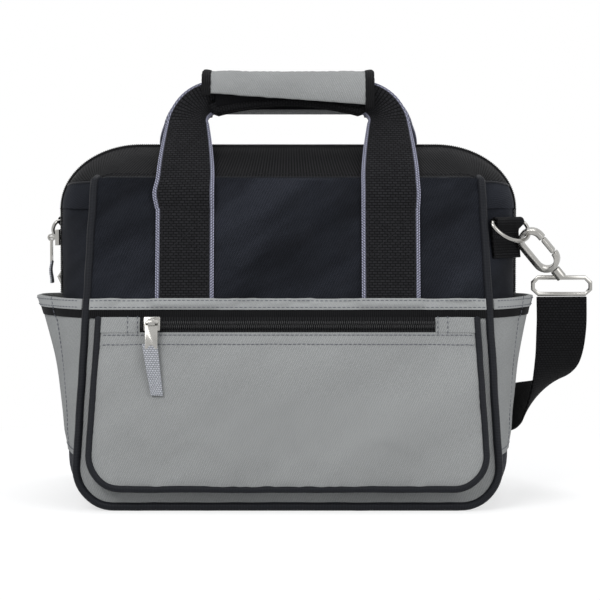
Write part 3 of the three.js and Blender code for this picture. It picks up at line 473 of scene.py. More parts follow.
def woven_cloth(name, colour, pitch, contrast, fold_shade, sheen):
    material, tree = new_material(name)
    _, across, along = uv_lengths(tree)
    slant = math_node(tree, "ADD", across, along)
    counter = math_node(tree, "SUBTRACT", across, math_node(tree, "MULTIPLY", along, 0.45))
    threads = math_node(tree, "MULTIPLY", wave(tree, slant, pitch), wave(tree, counter, pitch * 1.3))
    weave = weighed(tree, threads, 0.5, slow_noise(tree, 1500, 1.0), 0.7)
    # The slanting streaks paint the shade and highlight of soft folds: each thread tone gets a darker and a
    # lighter copy.
    fold_shade_mask = painted_fold_shading(tree)
    tones = [mixed(tree, fold_shade_mask, shaded(colour, tone * (1 - fold_shade)), shaded(colour, tone * (1 + fold_shade)))
             for tone in (1 - contrast, 1 + contrast)]
    finish_shader(tree, mixed(tree, weave, *tones), weave, depth=0.25 * MM, roughness=0.8, sheen=sheen)
    return material


GREY = (0.284, 0.290, 0.288)
BLACK_BLUE = (0.0145, 0.0160, 0.0208)
BAND_GREY = (0.345, 0.352, 0.350)
# Near-black cloth for the sheet that fills the gap under the grip's wrap.
UNDER_WRAP_BLACK = (0.007, 0.007, 0.008)
# The fourth setting is how strongly the painted fold shading darkens and lightens each cloth.
grey_cloth = woven_cloth("grey_polyester", GREY, pitch=1.35 * MM, contrast=0.4, fold_shade=0.06, sheen=0.03)
band_cloth = woven_cloth("grey_band_weave", BAND_GREY, pitch=1.0 * MM, contrast=0.2, fold_shade=0.06, sheen=0.05)
black_cloth = woven_cloth("blue_black_polyester", BLACK_BLUE, pitch=1.5 * MM, contrast=0.95, fold_shade=0.45,
                          sheen=0.02)
under_wrap_cloth = woven_cloth("under_wrap_black", UNDER_WRAP_BLACK, pitch=1.4 * MM, contrast=0.4, fold_shade=0.2, sheen=0.01)
print("cloth finishes:", [m.name for m in (grey_cloth, band_cloth, black_cloth, under_wrap_cloth)])

# %% [markdown]
# Webbing is woven in rows of short raised floats, like small bricks laid half a brick apart. The
# handles have a lilac-grey stripe woven along each edge. The zip tape is ribbed across its width,
# and the ribbons and the piping have fine ribs too. All of these follow the piece's own UV map.

# %% Webbing, tape and trim finishes
STRIPE_WIDTH = 3.0 * MM
CHAIN_PITCH = 2.0 * MM


def woven_webbing(name, colour, width=None, stripe=None, float_length=3.8 * MM, row=2.0 * MM, dark=0.02,
                  light=4.1):
    material, tree = new_material(name)
    place, across, along = uv_lengths(tree)
    brick = add_node(tree, "ShaderNodeTexBrick", {"Vector": place, "Color1": WHITE, "Scale": 1.0,
                     "Color2": (0.7, 0.7, 0.7, 1), "Mortar": (0, 0, 0, 1), "Mortar Size": 0.5 * MM,
                     "Mortar Smooth": 0.9, "Brick Width": float_length, "Row Height": row}, offset=0.5)
    height = weighed(tree, brick.outputs[0], 0.8, slow_noise(tree, 900, 2.0), 0.3)
    tone = mixed(tree, height, shaded(colour, dark), shaded(colour, light))
    if stripe:
        from_edge = math_node(tree, "MINIMUM", across, math_node(tree, "SUBTRACT", width, across))
        edge = math_node(tree, "LESS_THAN", from_edge, STRIPE_WIDTH)
        slant = math_node(tree, "ADD", along, math_node(tree, "MULTIPLY", from_edge, 0.8))
        chain = wave(tree, slant, CHAIN_PITCH)
        column = wave(tree, from_edge, STRIPE_WIDTH / 2)
        twist = math_node(tree, "MULTIPLY", chain, column)
        yarn = mixed(tree, twist, shaded(stripe, 0.28), shaded(stripe, 1.5))
        tone = mixed(tree, edge, tone, yarn)
    finish_shader(tree, tone, height, depth=0.5 * MM, roughness=0.8, sheen=0.01)
    return material


def ribbed_tape(name, colour, pitch, along_piece=False, depth=0.4 * MM, roughness=0.7, gloss=0.05, light=2.2):
    material, tree = new_material(name)
    _, across, along = uv_lengths(tree)
    rib = wave(tree, along if along_piece else across, pitch)
    height = weighed(tree, rib, 0.75, slow_noise(tree, 1100, 2.0), 0.35)
    tone = mixed(tree, height, shaded(colour, 0.3), shaded(colour, light))
    finish_shader(tree, tone, height, depth, roughness, sheen=0.01, gloss=gloss)
    return material


HANDLE_WIDTH = 43 * MM
LILAC = (0.33, 0.335, 0.43)
BLACK_YARN = (0.0056, 0.0056, 0.0061)
handle_weave = woven_webbing("striped_handle_webbing", BLACK_YARN, HANDLE_WIDTH, LILAC)
strap_weave = woven_webbing("strap_webbing", BLACK_YARN, float_length=2.6 * MM, dark=0.2, light=2.3)
TAPE_BLACK = (0.0060, 0.0060, 0.0064)
RIBBON_BLACK = (0.0065, 0.0065, 0.0070)
PIPING_BLACK = (0.0090, 0.0097, 0.0120)
zip_weave = ribbed_tape("zip_tape", TAPE_BLACK, pitch=2.0 * MM, light=3.4)
ribbon_weave = ribbed_tape("black_ribbon", RIBBON_BLACK, pitch=1.5 * MM, depth=0.25 * MM)
piping_weave = ribbed_tape("piping_cover", PIPING_BLACK, pitch=1.1 * MM, along_piece=True, depth=0.15 * MM,
                           roughness=0.5, gloss=0.1)
tail_weave = woven_webbing("pale_pull_tape", (0.40, 0.41, 0.44), float_length=1.9 * MM, row=1.5 * MM,
                           dark=0.35, light=1.35)
print("woven finishes ready")

# %% [markdown]
# The hardware is nickel plate: bright, a little warm, with fine rubbing marks and duller patches.
# The zip coils are hard black nylon with a small gleam on each turn. Sewing thread is a twisted
# yarn: grey-blue on the grey cloth and black on the webbing.

# %% Metal, nylon and thread finishes
def plated_metal(name, colour, roughness):
    material, tree = new_material(name)
    scuff = slow_noise(tree, 420, 6.0)
    patch = ranged(tree, slow_noise(tree, 60, 4.0), from_min=0.4, from_max=0.7)
    tone = mixed(tree, patch, shaded(colour, 0.86), shaded(colour, 1.05))
    finish_shader(tree, tone, scuff, depth=0.04 * MM, roughness=roughness, metal=1.0, spread_of=0.07)
    return material


def hard_nylon(name, colour, roughness):
    material, tree = new_material(name)
    grain = slow_noise(tree, 700, 3.0)
    tone = mixed(tree, grain, shaded(colour, 0.7), shaded(colour, 1.4))
    finish_shader(tree, tone, grain, depth=0.06 * MM, roughness=roughness, spread_of=0.1, gloss=0.3)
    return material


def twisted_thread(name, colour):
    material, tree = new_material(name)
    grain = slow_noise(tree, 2500, 2.0)
    tone = mixed(tree, grain, shaded(colour, 0.7), shaded(colour, 1.3))
    finish_shader(tree, tone, grain, depth=0.1 * MM, roughness=0.7, sheen=0.05)
    return material


nickel = plated_metal("nickel_plate", (0.40, 0.392, 0.372), roughness=0.24)
coil_nylon = hard_nylon("zip_coil_nylon", (0.030, 0.030, 0.031), roughness=0.32)
slide_plastic = hard_nylon("adjuster_plastic", (0.018, 0.018, 0.019), roughness=0.5)
board_plastic = hard_nylon("base_board_plastic", (0.022, 0.022, 0.022), roughness=0.6)
grey_thread = twisted_thread("grey_blue_thread", (0.13, 0.135, 0.16))
black_thread = twisted_thread("black_thread", (0.017, 0.017, 0.019))
print("metal, nylon and thread finishes ready")

# %% [markdown]
# The shoulder strap is one flat length of webbing. It hangs from the swivel loop at the right front,
# goes round behind the bag, lies on the floor there and comes up to the loop at the left rear. Its
# route is a list of points, each with the way its width lies, and a smooth curve joins them.

# %% Shoulder strap
STRAP_WIDTH = 38 * MM
STRAP_THICKNESS = 1.6 * MM
STRAP_ROUTE = [
    ((207, -18, 151.5), (1, 0, 0)),
    ((207, -18, 128), (1, 0.05, 0)),
    ((205, -9, 101), (0.95, 0.3, 0.1)),
    ((197, 6, 80), (0.7, 0.6, 0.4)),
    ((187, 30, 67), (0.3, 0.5, 0.8)),
    ((176, 62, 59), (0.05, 0.25, 1)),
    ((160, 92, 51), (0.1, 0.15, 1)),
    ((138, 110, 41), (0.2, 0.4, 0.85)),
    ((108, 118, 24), (0.2, 0.8, 0.5)),
    ((75, 121, 9), (0.1, 0.95, 0.2)),
    ((40, 122, 1.9), (0, 1, 0)),
    ((0, 122, 1.6), (0, 1, 0)),
    ((-35, 122, 1.9), (0, 1, 0)),
    ((-62, 121, 11), (-0.1, 0.97, 0)),
    ((-90, 119, 30), (-0.2, 0.95, -0.1)),
    ((-118, 114, 55), (-0.5, 0.8, -0.35)),
    ((-140, 104, 80), (-0.75, 0.55, -0.4)),
    ((-152, 92, 105), (-0.9, 0.35, -0.2)),
    ((-157, 82, 128), (-1, 0.05, 0)),
    ((-157, 80, 148), (-1, 0, 0)),
]


def centripetal(points, t):
    """A point on the curve through points whose speed follows the root of their spacing."""
    place = (len(points) - 1) * t
    i = min(int(place), len(points) - 2)
    w = place - i
    p1, p2 = points[i], points[i + 1]
    p0 = points[i - 1] if i else p1 * 2 - p2
    p3 = points[i + 2] if i + 2 < len(points) else p2 * 2 - p1
    d0, d1, d2 = ((b - a).length ** 0.5 for a, b in ((p0, p1), (p1, p2), (p2, p3)))
    d1 = d1 or 1.0
    d0, d2 = d0 or d1, d2 or d1
    t1 = ((p1 - p0) / d0 - (p2 - p0) / (d0 + d1) + (p2 - p1) / d1) * d1
    t2 = ((p2 - p1) / d1 - (p3 - p1) / (d1 + d2) + (p3 - p2) / d2) * d1
    return p1 + t1 * w + (p2 * 3 - p1 * 3 - t1 * 2 - t2) * w ** 2 + (p1 * 2 - p2 * 2 + t1 + t2) * w ** 3


route = [Vector(point) * MM for point, _ in STRAP_ROUTE]
lie = [Vector(way) for _, way in STRAP_ROUTE]
STRAP_STEPS = 220
STRAP_COLUMNS = 8
strap_line = [centripetal(route, t) for t in spread(0, 1, STRAP_STEPS)]
strap_rows = []
for i, t in enumerate(spread(0, 1, STRAP_STEPS)):
    tangent = (strap_line[min(i + 1, STRAP_STEPS)] - strap_line[max(i - 1, 0)]).normalized()
    way = centripetal(lie, t)
    way = (way - tangent * way.dot(tangent)).normalized()
    normal = tangent.cross(way)
    strap_rows.append([strap_line[i] + way * STRAP_WIDTH * c - normal * STRAP_THICKNESS * (0.25 - c * c)
                       for c in spread(-0.5, 0.5, STRAP_COLUMNS)])
strap_length = running_length(strap_line)
strap = sewn_piece("shoulder_strap_webbing", strap_rows, strap_weave, STRAP_THICKNESS, "webbing",
                   ["shoulder_strap"], edge=0.5 * MM, offset=0,
                   uv=lambda i, j: (STRAP_WIDTH * j / STRAP_COLUMNS, strap_length[i]))
print("strap", round(strap_length[-1], 3), "m of", STRAP_WIDTH, "m webbing")

# %% [markdown]
# Metal and plastic fittings keep the exact shape of their solids. A copy of each solid is cleaned
# of its loose triangles; the wire pieces are then smoothed into round wire, and the others get the
# small rounded edges that casting and plating leave.

# %% Fittings
def refined(node, material, name, edge=0.0, rounded=0, angle=35):
    piece = bpy.data.objects.new(name, cad[node].data.copy())
    scene.collection.objects.link(piece)
    piece.data.materials.clear()
    piece.data.materials.append(material)
    shape = bmesh.new()
    shape.from_mesh(piece.data)
    bmesh.ops.remove_doubles(shape, verts=shape.verts, dist=0.02 * MM)
    bmesh.ops.dissolve_limit(shape, angle_limit=math.radians(2), verts=shape.verts, edges=shape.edges)
    if rounded:
        bmesh.ops.triangulate(shape, faces=[f for f in shape.faces if len(f.verts) > 4])
        bmesh.ops.join_triangles(shape, faces=shape.faces, angle_face_threshold=0.9,
                                 angle_shape_threshold=1.2)
    bmesh.ops.recalc_face_normals(shape, faces=shape.faces)
    shape.to_mesh(piece.data)
    shape.free()
    if rounded:
        soft = piece.modifiers.new("round", "SUBSURF")
        soft.levels = rounded
        soft.render_levels = rounded
    if edge:
        soften(piece, edge, segments=3, angle=angle)
    apply_modifiers(piece)
    shade(piece, angle=35 if edge else 60)
    return piece


def fitting(node, name, body, material=nickel, slot="nickel", **finish):
    return put(refined(node, material, name, **finish), body, [node])


for side in ("right", "left"):
    fitting(f"{side}_d_ring", f"{side}_wire_ring", f"{side}_ring", rounded=2)
    fitting(f"{side}_snap_hook", f"{side}_oval_hook", "root", edge=0.9 * MM)
    fitting(f"{side}_hook_gate", f"{side}_gate", f"{side}_gate", edge=0.5 * MM)
    fitting(f"{side}_swivel_loop", f"{side}_strap_loop", "root", edge=0.35 * MM, angle=50)
for slider in ("pocket", "main"):
    fitting(f"{slider}_slider", f"{slider}_zip_slider", f"{slider}_slider", edge=0.6 * MM)
    fitting(f"{slider}_pull", f"{slider}_pull_tab", f"{slider}_pull", edge=0.35 * MM)
adjuster = fitting("strap_adjuster", "strap_slide", "root", slide_plastic, "board", edge=0.8 * MM)
cad["base_board"].data.materials.clear()
cad["base_board"].data.materials.append(board_plastic)
print("fittings: rings, hooks, gates, loops, sliders, pulls and", adjuster.name)

# %% [markdown]
# A stuffed bag is never flat: each panel is held along its seams and swells between them, with soft
# folds where there is more cloth than the frame needs. Blender's cloth does this well: the sheet is
# pinned where it is sewn, pushed out by a little pressure and given a few per cent of spare length.

# %% Cloth that fills out
SETTLE_FRAMES = 18


def settle(piece, sewn, pressure, slack, cap):
    """Runs the cloth on a sheet and keeps its last shape; no point moves further than cap."""
    group = piece.vertex_groups.new(name="sewn")
    group.add(list(sewn), 1.0, "REPLACE")
    cloth = piece.modifiers.new("settle", "CLOTH")
    yarn = cloth.settings
    yarn.quality = 4
    yarn.mass = 0.15
    yarn.tension_stiffness = 22
    yarn.compression_stiffness = 22
    yarn.shear_stiffness = 6
    yarn.bending_stiffness = 0.35
    yarn.use_pressure = True
    yarn.uniform_pressure_force = pressure
    yarn.shrink_min = -slack
    yarn.vertex_group_mass = "sewn"
    yarn.effector_weights.gravity = 0
    cloth.collision_settings.use_collision = False
    cloth.point_cache.frame_end = SETTLE_FRAMES
    for step in range(1, SETTLE_FRAMES + 1):
        scene.frame_set(step)
    graph = bpy.context.evaluated_depsgraph_get()
    moved = [v.co.copy() for v in piece.evaluated_get(graph).data.vertices]
    piece.modifiers.clear()
    piece.vertex_groups.clear()
    scene.frame_set(1)
    furthest = 0.0
    for vertex, target in zip(piece.data.vertices, moved):
        step = target - vertex.co
        if step.length > cap:
            step = step.normalized() * cap
        furthest = max(furthest, step.length)
        vertex.co += step
    piece.data.update()
    print(piece.name, "swelled by up to", round(furthest / MM, 1), "mm")


def border(rows, wide):
    """Indices of the points along the four edges of a sheet."""
    return {i * wide + j for i in range(rows) for j in range(wide)
            if i in (0, rows - 1) or j in (0, wide - 1)}


def rounded_rows(half_at, inset, lift, corner, top, steps):
    """Height and half width of a U-shaped panel, row by row from its rounded bottom to its top."""
    radius = corner - inset
    bottom = inset + lift
    foot = half_at(bottom + radius) - inset - radius
    curve = [(bottom + radius * (1 - math.cos(t)), foot + radius * math.sin(t))
             for t in spread(0, math.pi / 2, 10)]
    return curve + [(up, half_at(up) - inset) for up in spread(bottom + radius, top, steps)[1:]]


EDGE_STEPS = 40


def rounded_path(half_at, inset, lift, corner, top):
    """The U-shaped edge of a panel as (across, up), from left top to right top."""
    radius = corner - inset
    bottom = inset + lift
    half = half_at(bottom + radius) - inset
    right = [(x, bottom) for x in spread(0, half - radius, EDGE_STEPS)[:-1]]
    right += [(half - radius + radius * math.sin(t), bottom + radius * (1 - math.cos(t)))
              for t in spread(0, math.pi / 2, 14)]
    right += [(half_at(up) - inset, up) for up in spread(bottom + radius, top, EDGE_STEPS)[1:]]
    return [(-x, up) for x, up in right[:0:-1]] + right


def eased(value, width):
    t = min(max(value / width, 0.0), 1.0)
    return t * t * (3 - 2 * t)


print("cloth helpers ready")

# %% [markdown]
# The front and rear walls are two cloths each, joined under the grey band: grey below, blue-black
# above. The upper one runs on over the fold line to the zip's seam. Each wall dives into its piping
# along the edges and is held flat under the legs.

# %% Front and rear walls
PANEL_EDGE = 9 * MM
LEG_OFFSET = 76 * MM
LEG_HOLD = 25 * MM
FOLD_REACH = Vector((0, 0, 6 * MM))
WALL_COLUMNS = 61
RAY_REACH = 30 * MM
JOIN = up_panel((BAND_LOW + BAND_HIGH) / 2)
HINGE = on_panel(0, FOLD, 0)
panel_normal = Vector((0, -math.cos(LEAN), math.sin(LEAN)))
skins = {}


def wall_fold(half, rear):
    """The mouth body's name and two points below and above the fold line, passed on to put as a bend."""
    place = half_turn(HINGE, rear)
    return (f"{half}_mouth", place - FOLD_REACH, place + FOLD_REACH)


CREASES = [
    ((-133, 158), (-118, 236), 1.3, 7),
    ((-104, 152), (-112, 232), -0.9, 8),
    ((130, 156), (120, 238), 1.1, 7),
    ((-128, 152), (-106, 186), 1.2, 6),
    ((-30, 150), (-12, 236), 0.7, 16),
    ((34, 152), (22, 232), -0.7, 14),
    ((108, 154), (114, 226), -0.8, 8),
]


def creases(x, up):
    """Height of the soft folds in the upper cloth, each a ridge along a line (all in millimetres)."""
    total = 0.0
    point = Vector((x / MM, up / MM))
    for start, end, height, width in CREASES:
        first, last = Vector(start), Vector(end)
        along = last - first
        t = min(max((point - first).dot(along) / along.length_squared, 0), 1)
        away = (point - first - along * t).length
        total += height * math.exp(-(away / width) ** 2)
    return total * MM


def panel_sheet(name, rows, crown, material, rear):
    low, high = rows[0][0], rows[-1][0]
    grid = []
    sides = spread(-1, 1, WALL_COLUMNS - 1)
    for up, half in rows:
        line = []
        for c in sides:
            inward = min((1 - abs(c)) * half, up - low + 1 * MM if low < 30 * MM else 1.0)
            edge = eased(inward, PANEL_EDGE)
            level = (2 * up - low - high) / (high - low)
            swell = crown * (1 - c ** 4) * (1 - level ** 4)
            fold = creases(c * half, up) * edge * (1 - level ** 6)
            line.append(on_panel(c * half, up, -PIPING_SINK * (1 - edge) + swell + fold, rear))
        grid.append(line)
    return sheet_piece(name, grid, material, uv=lambda i, j: (sides[j] * rows[i][1], rows[i][0]))


def bag_wall(half, rear):
    rows = rounded_rows(panel_half, PIPING_RADIUS, PIPING_LIFT, CORNER_RADIUS, JOIN, 26)
    lower = panel_sheet(f"{half}_lower_wall", rows, 1.2 * MM if rear else 0.0, grey_cloth, rear)
    if rear:
        settle(lower, border(len(rows), WALL_COLUMNS), pressure=1.6, slack=0.012, cap=4.5 * MM)
    thicken(lower, CLOTH)
    put(lower, "root", [f"{half}_lower_panel"])
    rows = [(up, panel_half(up) - PIPING_RADIUS) for up in spread(JOIN - 2 * MM, SEAM + 1 * MM, 34)]
    upper = panel_sheet(f"{half}_upper_wall", rows, 0.8 * MM, black_cloth, rear)
    sewn = border(len(rows), WALL_COLUMNS)
    for i, (up, width) in enumerate(rows):
        for j, c in enumerate(spread(-1, 1, WALL_COLUMNS - 1)):
            if abs(abs(c * width) - LEG_OFFSET) < LEG_HOLD:
                sewn.add(i * WALL_COLUMNS + j)
    settle(upper, sewn, pressure=2.2, slack=0.02, cap=4 * MM)
    thicken(upper, CLOTH)
    nodes = [f"{half}_upper_panel", f"{half}_mouth_panel"]
    put(upper, "root", nodes, wall_fold(half, rear))
    graph = bpy.context.evaluated_depsgraph_get()
    skins[half] = [BVHTree.FromObject(piece, graph) for piece in (lower, upper)]


def lay_on_wall(x, up, lift, rear=False):
    """A point lifted off the finished cloth of the wall."""
    normal = half_turn(panel_normal, rear)
    best = 0.0
    for tree in skins["rear" if rear else "front"]:
        hit, _, _, distance = tree.ray_cast(on_panel(x, up, RAY_REACH, rear), -normal)
        if hit is not None and RAY_REACH - distance > -3 * MM:
            best = max(best, RAY_REACH - distance)
    return on_panel(x, up, best + lift, rear)


for half, rear in HALVES:
    bag_wall(half, rear)
print("walls:", sorted(skins))

# %% [markdown]
# A cord covered in black cloth, the piping, runs round each wall where it meets the sides. It is a
# tube along the wall's edge with small unevenness, and a flat flange behind it that is caught in the
# seam. Above the fold it goes on to the top seam with the mouth.

# %% Piping round the walls
UNEVEN_SCALE = 60.0


def uneven(points, amount):
    return [p + noise.noise_vector(p * UNEVEN_SCALE) * amount for p in points]


def wall_piping(half, rear):
    edge = rounded_path(panel_half, PIPING_RADIUS, PIPING_LIFT, CORNER_RADIUS, SEAM - 1 * MM)
    line = [on_panel(x, up, -PIPING_SINK, rear) for x, up in edge]
    for k in (0, -1):
        x, up = edge[k]
        tucked = on_panel(x * 0.985, up + 3 * MM, -PIPING_SINK - 4 * MM, rear)
        line.insert(len(line) if k else 0, tucked)
    piece = tube_piece(f"{half}_wall_piping", uneven(line, 0.35 * MM), PIPING_RADIUS, piping_weave, 14)
    put(piece, "root", [f"{half}_piping"], wall_fold(half, rear))
    flange = [[on_panel(x * s, up + lift, -PIPING_SINK - 1.2 * MM, rear) for x, up in edge]
              for s, lift in ((0.995, 0.3 * MM), (0.965, 4 * MM))]
    sewn_piece(f"{half}_piping_flange", flange, piping_weave, 0.8 * MM, "trim", bend=wall_fold(half, rear))


for half, rear in HALVES:
    wall_piping(half, rear)
print("piping runs to", round(SEAM_HEIGHT, 3), "m")

# %% [markdown]
# Stitches and zip coils repeat hundreds of times along a line, so Geometry Nodes make them. The line
# is a chain of edges; the tree turns it into a curve, cuts it at an even pitch, puts one small shape
# on every cut and turns it along the line. The result is then kept as a plain mesh.

# %% Stitch and coil trees
def row_tree(name, sizes, across):
    """A tree that lays one rounded shape along a line; across gives it an up side from an attribute."""
    tree = bpy.data.node_groups.new(name, "GeometryNodeTree")
    face = tree.interface
    face.new_socket("Line", in_out="INPUT", socket_type="NodeSocketGeometry")
    for label, value in sizes.items():
        socket = face.new_socket(label, in_out="INPUT", socket_type="NodeSocketFloat")
        socket.default_value = value
    face.new_socket("Finish", in_out="INPUT", socket_type="NodeSocketMaterial")
    face.new_socket("Row", in_out="OUTPUT", socket_type="NodeSocketGeometry")
    given = tree.nodes.new("NodeGroupInput").outputs
    curve = add_node(tree, "GeometryNodeMeshToCurve", {0: given["Line"]})
    cut = add_node(tree, "GeometryNodeResampleCurve", {"Curve": curve.outputs[0],
                   "Length": given["Pitch"]}, mode="LENGTH")
    bead = add_node(tree, "GeometryNodeMeshUVSphere", {"Segments": 8, "Rings": 5, "Radius": 0.5})
    smooth = add_node(tree, "GeometryNodeSetShadeSmooth", {0: bead.outputs[0]})
    tangent = add_node(tree, "GeometryNodeInputTangent")
    turn = add_node(tree, "FunctionNodeAlignRotationToVector", {"Vector": tangent.outputs[0]}, axis="X")
    if across:
        up = add_node(tree, "GeometryNodeInputNamedAttribute", {"Name": "up"}, data_type="FLOAT_VECTOR")
        turn = add_node(tree, "FunctionNodeAlignRotationToVector", {"Rotation": turn.outputs[0],
                        "Vector": up.outputs[0]}, axis="Z", pivot_axis="X")
    size = add_node(tree, "ShaderNodeCombineXYZ", {0: given["Length"], 1: given["Width"], 2: given["Height"]})
    laid = add_node(tree, "GeometryNodeInstanceOnPoints", {"Points": cut.outputs[0],
                    "Instance": smooth.outputs[0], "Rotation": turn.outputs[0], "Scale": size.outputs[0]})
    real = add_node(tree, "GeometryNodeRealizeInstances", {0: laid.outputs[0]})
    painted = add_node(tree, "GeometryNodeSetMaterial", {0: real.outputs[0], "Material": given["Finish"]})
    add_node(tree, "NodeGroupOutput", {0: painted.outputs[0]})
    return tree


COIL_PITCH = 1.5 * MM
STITCH_SIZES = {"Pitch": 3.4 * MM, "Length": 2.7 * MM, "Width": 0.75 * MM, "Height": 0.6 * MM}
COIL_SIZES = {"Pitch": COIL_PITCH, "Length": 1.0 * MM, "Width": 3.4 * MM, "Height": 1.9 * MM}
stitch_tree = row_tree("stitch_row", STITCH_SIZES, False)
coil_tree = row_tree("zip_coil_row", COIL_SIZES, True)


def row_piece(name, tree, lines, material, sizes, ups=None):
    """Runs a tree on one or more lines and keeps the result as a mesh; sizes replace the tree's own."""
    points, edges, sides = [], [], []
    for k, line in enumerate(lines):
        first = len(points)
        points += [tuple(p) for p in line]
        edges += [(first + i, first + i + 1) for i in range(len(line) - 1)]
        sides += ups[k] if ups else []
    mesh = bpy.data.meshes.new(name)
    mesh.from_pydata(points, edges, [])
    if ups:
        up = mesh.attributes.new("up", "FLOAT_VECTOR", "POINT")
        up.data.foreach_set("vector", [value for side in sides for value in side])
    piece = bpy.data.objects.new(name, mesh)
    scene.collection.objects.link(piece)
    rows = piece.modifiers.new("rows", "NODES")
    rows.node_group = tree
    for socket in tree.interface.items_tree:
        if socket.in_out == "INPUT" and socket.name.lower() in sizes:
            rows[socket.identifier] = sizes[socket.name.lower()]
        if socket.in_out == "INPUT" and socket.name == "Finish":
            rows[socket.identifier] = material
    piece.update_tag()
    apply_modifiers(piece)
    return piece


def stitches(name, lines, material, slot, bend=None, **sizes):
    put(row_piece(name, stitch_tree, lines, material, sizes), "root", (), bend)


def zip_coil(name, lines, ups, node, bend=None):
    put(row_piece(name, coil_tree, lines, coil_nylon, {}, ups), "root", [node], bend)


print("trees:", stitch_tree.name, coil_tree.name)

# %% [markdown]
# A grey woven band covers the join of the two cloths, sewn down with two rows of stitches, and a
# black ribbon shows below it. The webbing legs of the handles are sewn flat on the upper
# wall, with a box and a cross of stitches near the top, and the band swells over their lower ends.

# %% Bands, ribbons and handle legs
LEG_THICKNESS = 2 * MM
LEG_TUCK = 4 * MM
STRIP_INSET = 5.2 * MM
STRIP_COLUMNS = 160
BAND_SEAM_LOW = 1.7 * MM
BAND_SEAM_HIGH = 1.6 * MM
BOX_HALF = 17 * MM
BOX_LOW = up_panel(183 * MM)
BOX_HIGH = up_panel(213 * MM)
LEG_STITCH_LIFT = 2.15 * MM


def leg_swell(x, up):
    """How far the band stands out where it covers the lower end of a leg."""
    beside = max(abs(abs(x) - LEG_OFFSET) - HANDLE_WIDTH / 2, 0)
    low, high = up_panel(BAND_LOW), up_panel(BAND_HIGH) - LEG_TUCK
    return (LEG_THICKNESS + 0.2 * MM) * (1 - eased(beside, 5 * MM)) * eased(up - low, high - low)


def wall_strip(name, low, high, material, rear, slot, nodes, lift, thickness, swell=None):
    rows = []
    for up in spread(low, high, 8):
        line = []
        for c in spread(-1, 1, STRIP_COLUMNS):
            x = c * (panel_half(up) - STRIP_INSET)
            line.append(lay_on_wall(x, up, lift + thickness + (swell(x, up) if swell else 0), rear))
        rows.append(line)
    sewn_piece(name, rows, material, thickness, slot, nodes, edge=0.35 * MM)


def level_line(up, half, lift, rear):
    return [lay_on_wall(x, up, lift + leg_swell(x, up), rear) for x in spread(-half, half, STRIP_COLUMNS)]


def band_and_ribbon(half, rear):
    low, high = up_panel(BAND_LOW), up_panel(BAND_HIGH)
    wall_strip(f"{half}_black_ribbon", up_panel(RIBBON_LOW), low + 1.5 * MM, ribbon_weave, rear, "trim",
               () if rear else ["front_ribbon"], lift=0.1 * MM, thickness=0.9 * MM)
    wall_strip(f"{half}_grey_band", low, high, band_cloth, rear, "grey_cloth", [f"{half}_band"],
               lift=0.6 * MM, thickness=1.4 * MM, swell=leg_swell)
    rows = [level_line(up, panel_half(up) - 7 * MM, 2.05 * MM, rear)
            for up in (low + BAND_SEAM_LOW, high - BAND_SEAM_HIGH)]
    stitches(f"{half}_band_stitches", rows, grey_thread, "trim")


def handle_leg(half, rear, side, sign):
    low, high = up_panel(BAND_HIGH) - LEG_TUCK, FOLD - 0.05 * MM
    middle = sign * LEG_OFFSET
    places = [middle + c * HANDLE_WIDTH for c in spread(-0.5, 0.5, 16)]
    rows = [[lay_on_wall(x, up, 0.1 * MM + LEG_THICKNESS, rear) for x in places]
            for up in spread(low, high, 24)]
    sewn_piece(f"{half}_leg_{side}", rows, handle_weave, LEG_THICKNESS, "webbing",
               [f"{half}_handle_leg_{side}"], edge=0.2 * MM,
               uv=lambda i, j: (HANDLE_WIDTH * j / 16, (high - low) * i / 24))
    corners = [(-BOX_HALF, BOX_LOW), (BOX_HALF, BOX_LOW), (BOX_HALF, BOX_HIGH), (-BOX_HALF, BOX_HIGH)]
    seams = [(corners[k], corners[(k + 1) % 4]) for k in range(4)]
    seams += [(corners[0], corners[2]), (corners[1], corners[3])]
    for edge in (-HANDLE_WIDTH / 2 + 4.2 * MM, HANDLE_WIDTH / 2 - 4.2 * MM):
        seams.append(((edge, low + LEG_TUCK), (edge, BOX_LOW)))
    lines = []
    for (x0, u0), (x1, u1) in seams:
        lines.append([lay_on_wall(middle + x0 + (x1 - x0) * t, u0 + (u1 - u0) * t, LEG_STITCH_LIFT, rear)
                      for t in spread(0, 1, 14)])
    stitches(f"{half}_leg_{side}_stitches", lines, black_thread, "webbing", length=2.4 * MM, pitch=3.0 * MM)


for half, rear in HALVES:
    band_and_ribbon(half, rear)
    for side, sign in SIGNS:
        handle_leg(half, rear, side, sign)
print("bands, ribbons and legs sewn on")

# %% [markdown]
# The front pocket is a shallow bellows: a face with its own piping, and a narrow wall that joins it
# to the bag. Its face swells with the cloth run, because it is the fullest panel of the bag. The top
# edge of the face is folded under along the zip and sewn with two rows.

# %% Front pocket
POCKET_LOW_HALF = 147.5 * MM
POCKET_HIGH_HALF = 141 * MM
POCKET_BOTTOM = 12.5 * MM
POCKET_CORNER = 27 * MM
POCKET_PROUD_LOW = 13 * MM
POCKET_PROUD_HIGH = 6 * MM
POCKET_PIPING = 2.5 * MM
POCKET_CROWN = 6 * MM
BELLOWS_SINK = 2.2 * MM
POCKET_FOLD = 117.5 * MM
ZIP_WINDOW = 11 * MM
ZIP_WINDOW_HALF = 108 * MM
POCKET_TOP = POCKET_FOLD + ZIP_WINDOW
POCKET_TILT = math.atan((POCKET_PROUD_LOW - POCKET_PROUD_HIGH) / POCKET_FOLD)


def pocket_half(up):
    return POCKET_LOW_HALF - (POCKET_LOW_HALF - POCKET_HIGH_HALF) * up / POCKET_TOP


def on_pocket(x, up, out=0.0):
    """A point of the pocket's own face, given in its frame."""
    panel_up = POCKET_BOTTOM + up * math.cos(POCKET_TILT) + out * math.sin(POCKET_TILT)
    panel_out = POCKET_PROUD_LOW - up * math.sin(POCKET_TILT) + out * math.cos(POCKET_TILT)
    return on_panel(x, panel_up, panel_out)


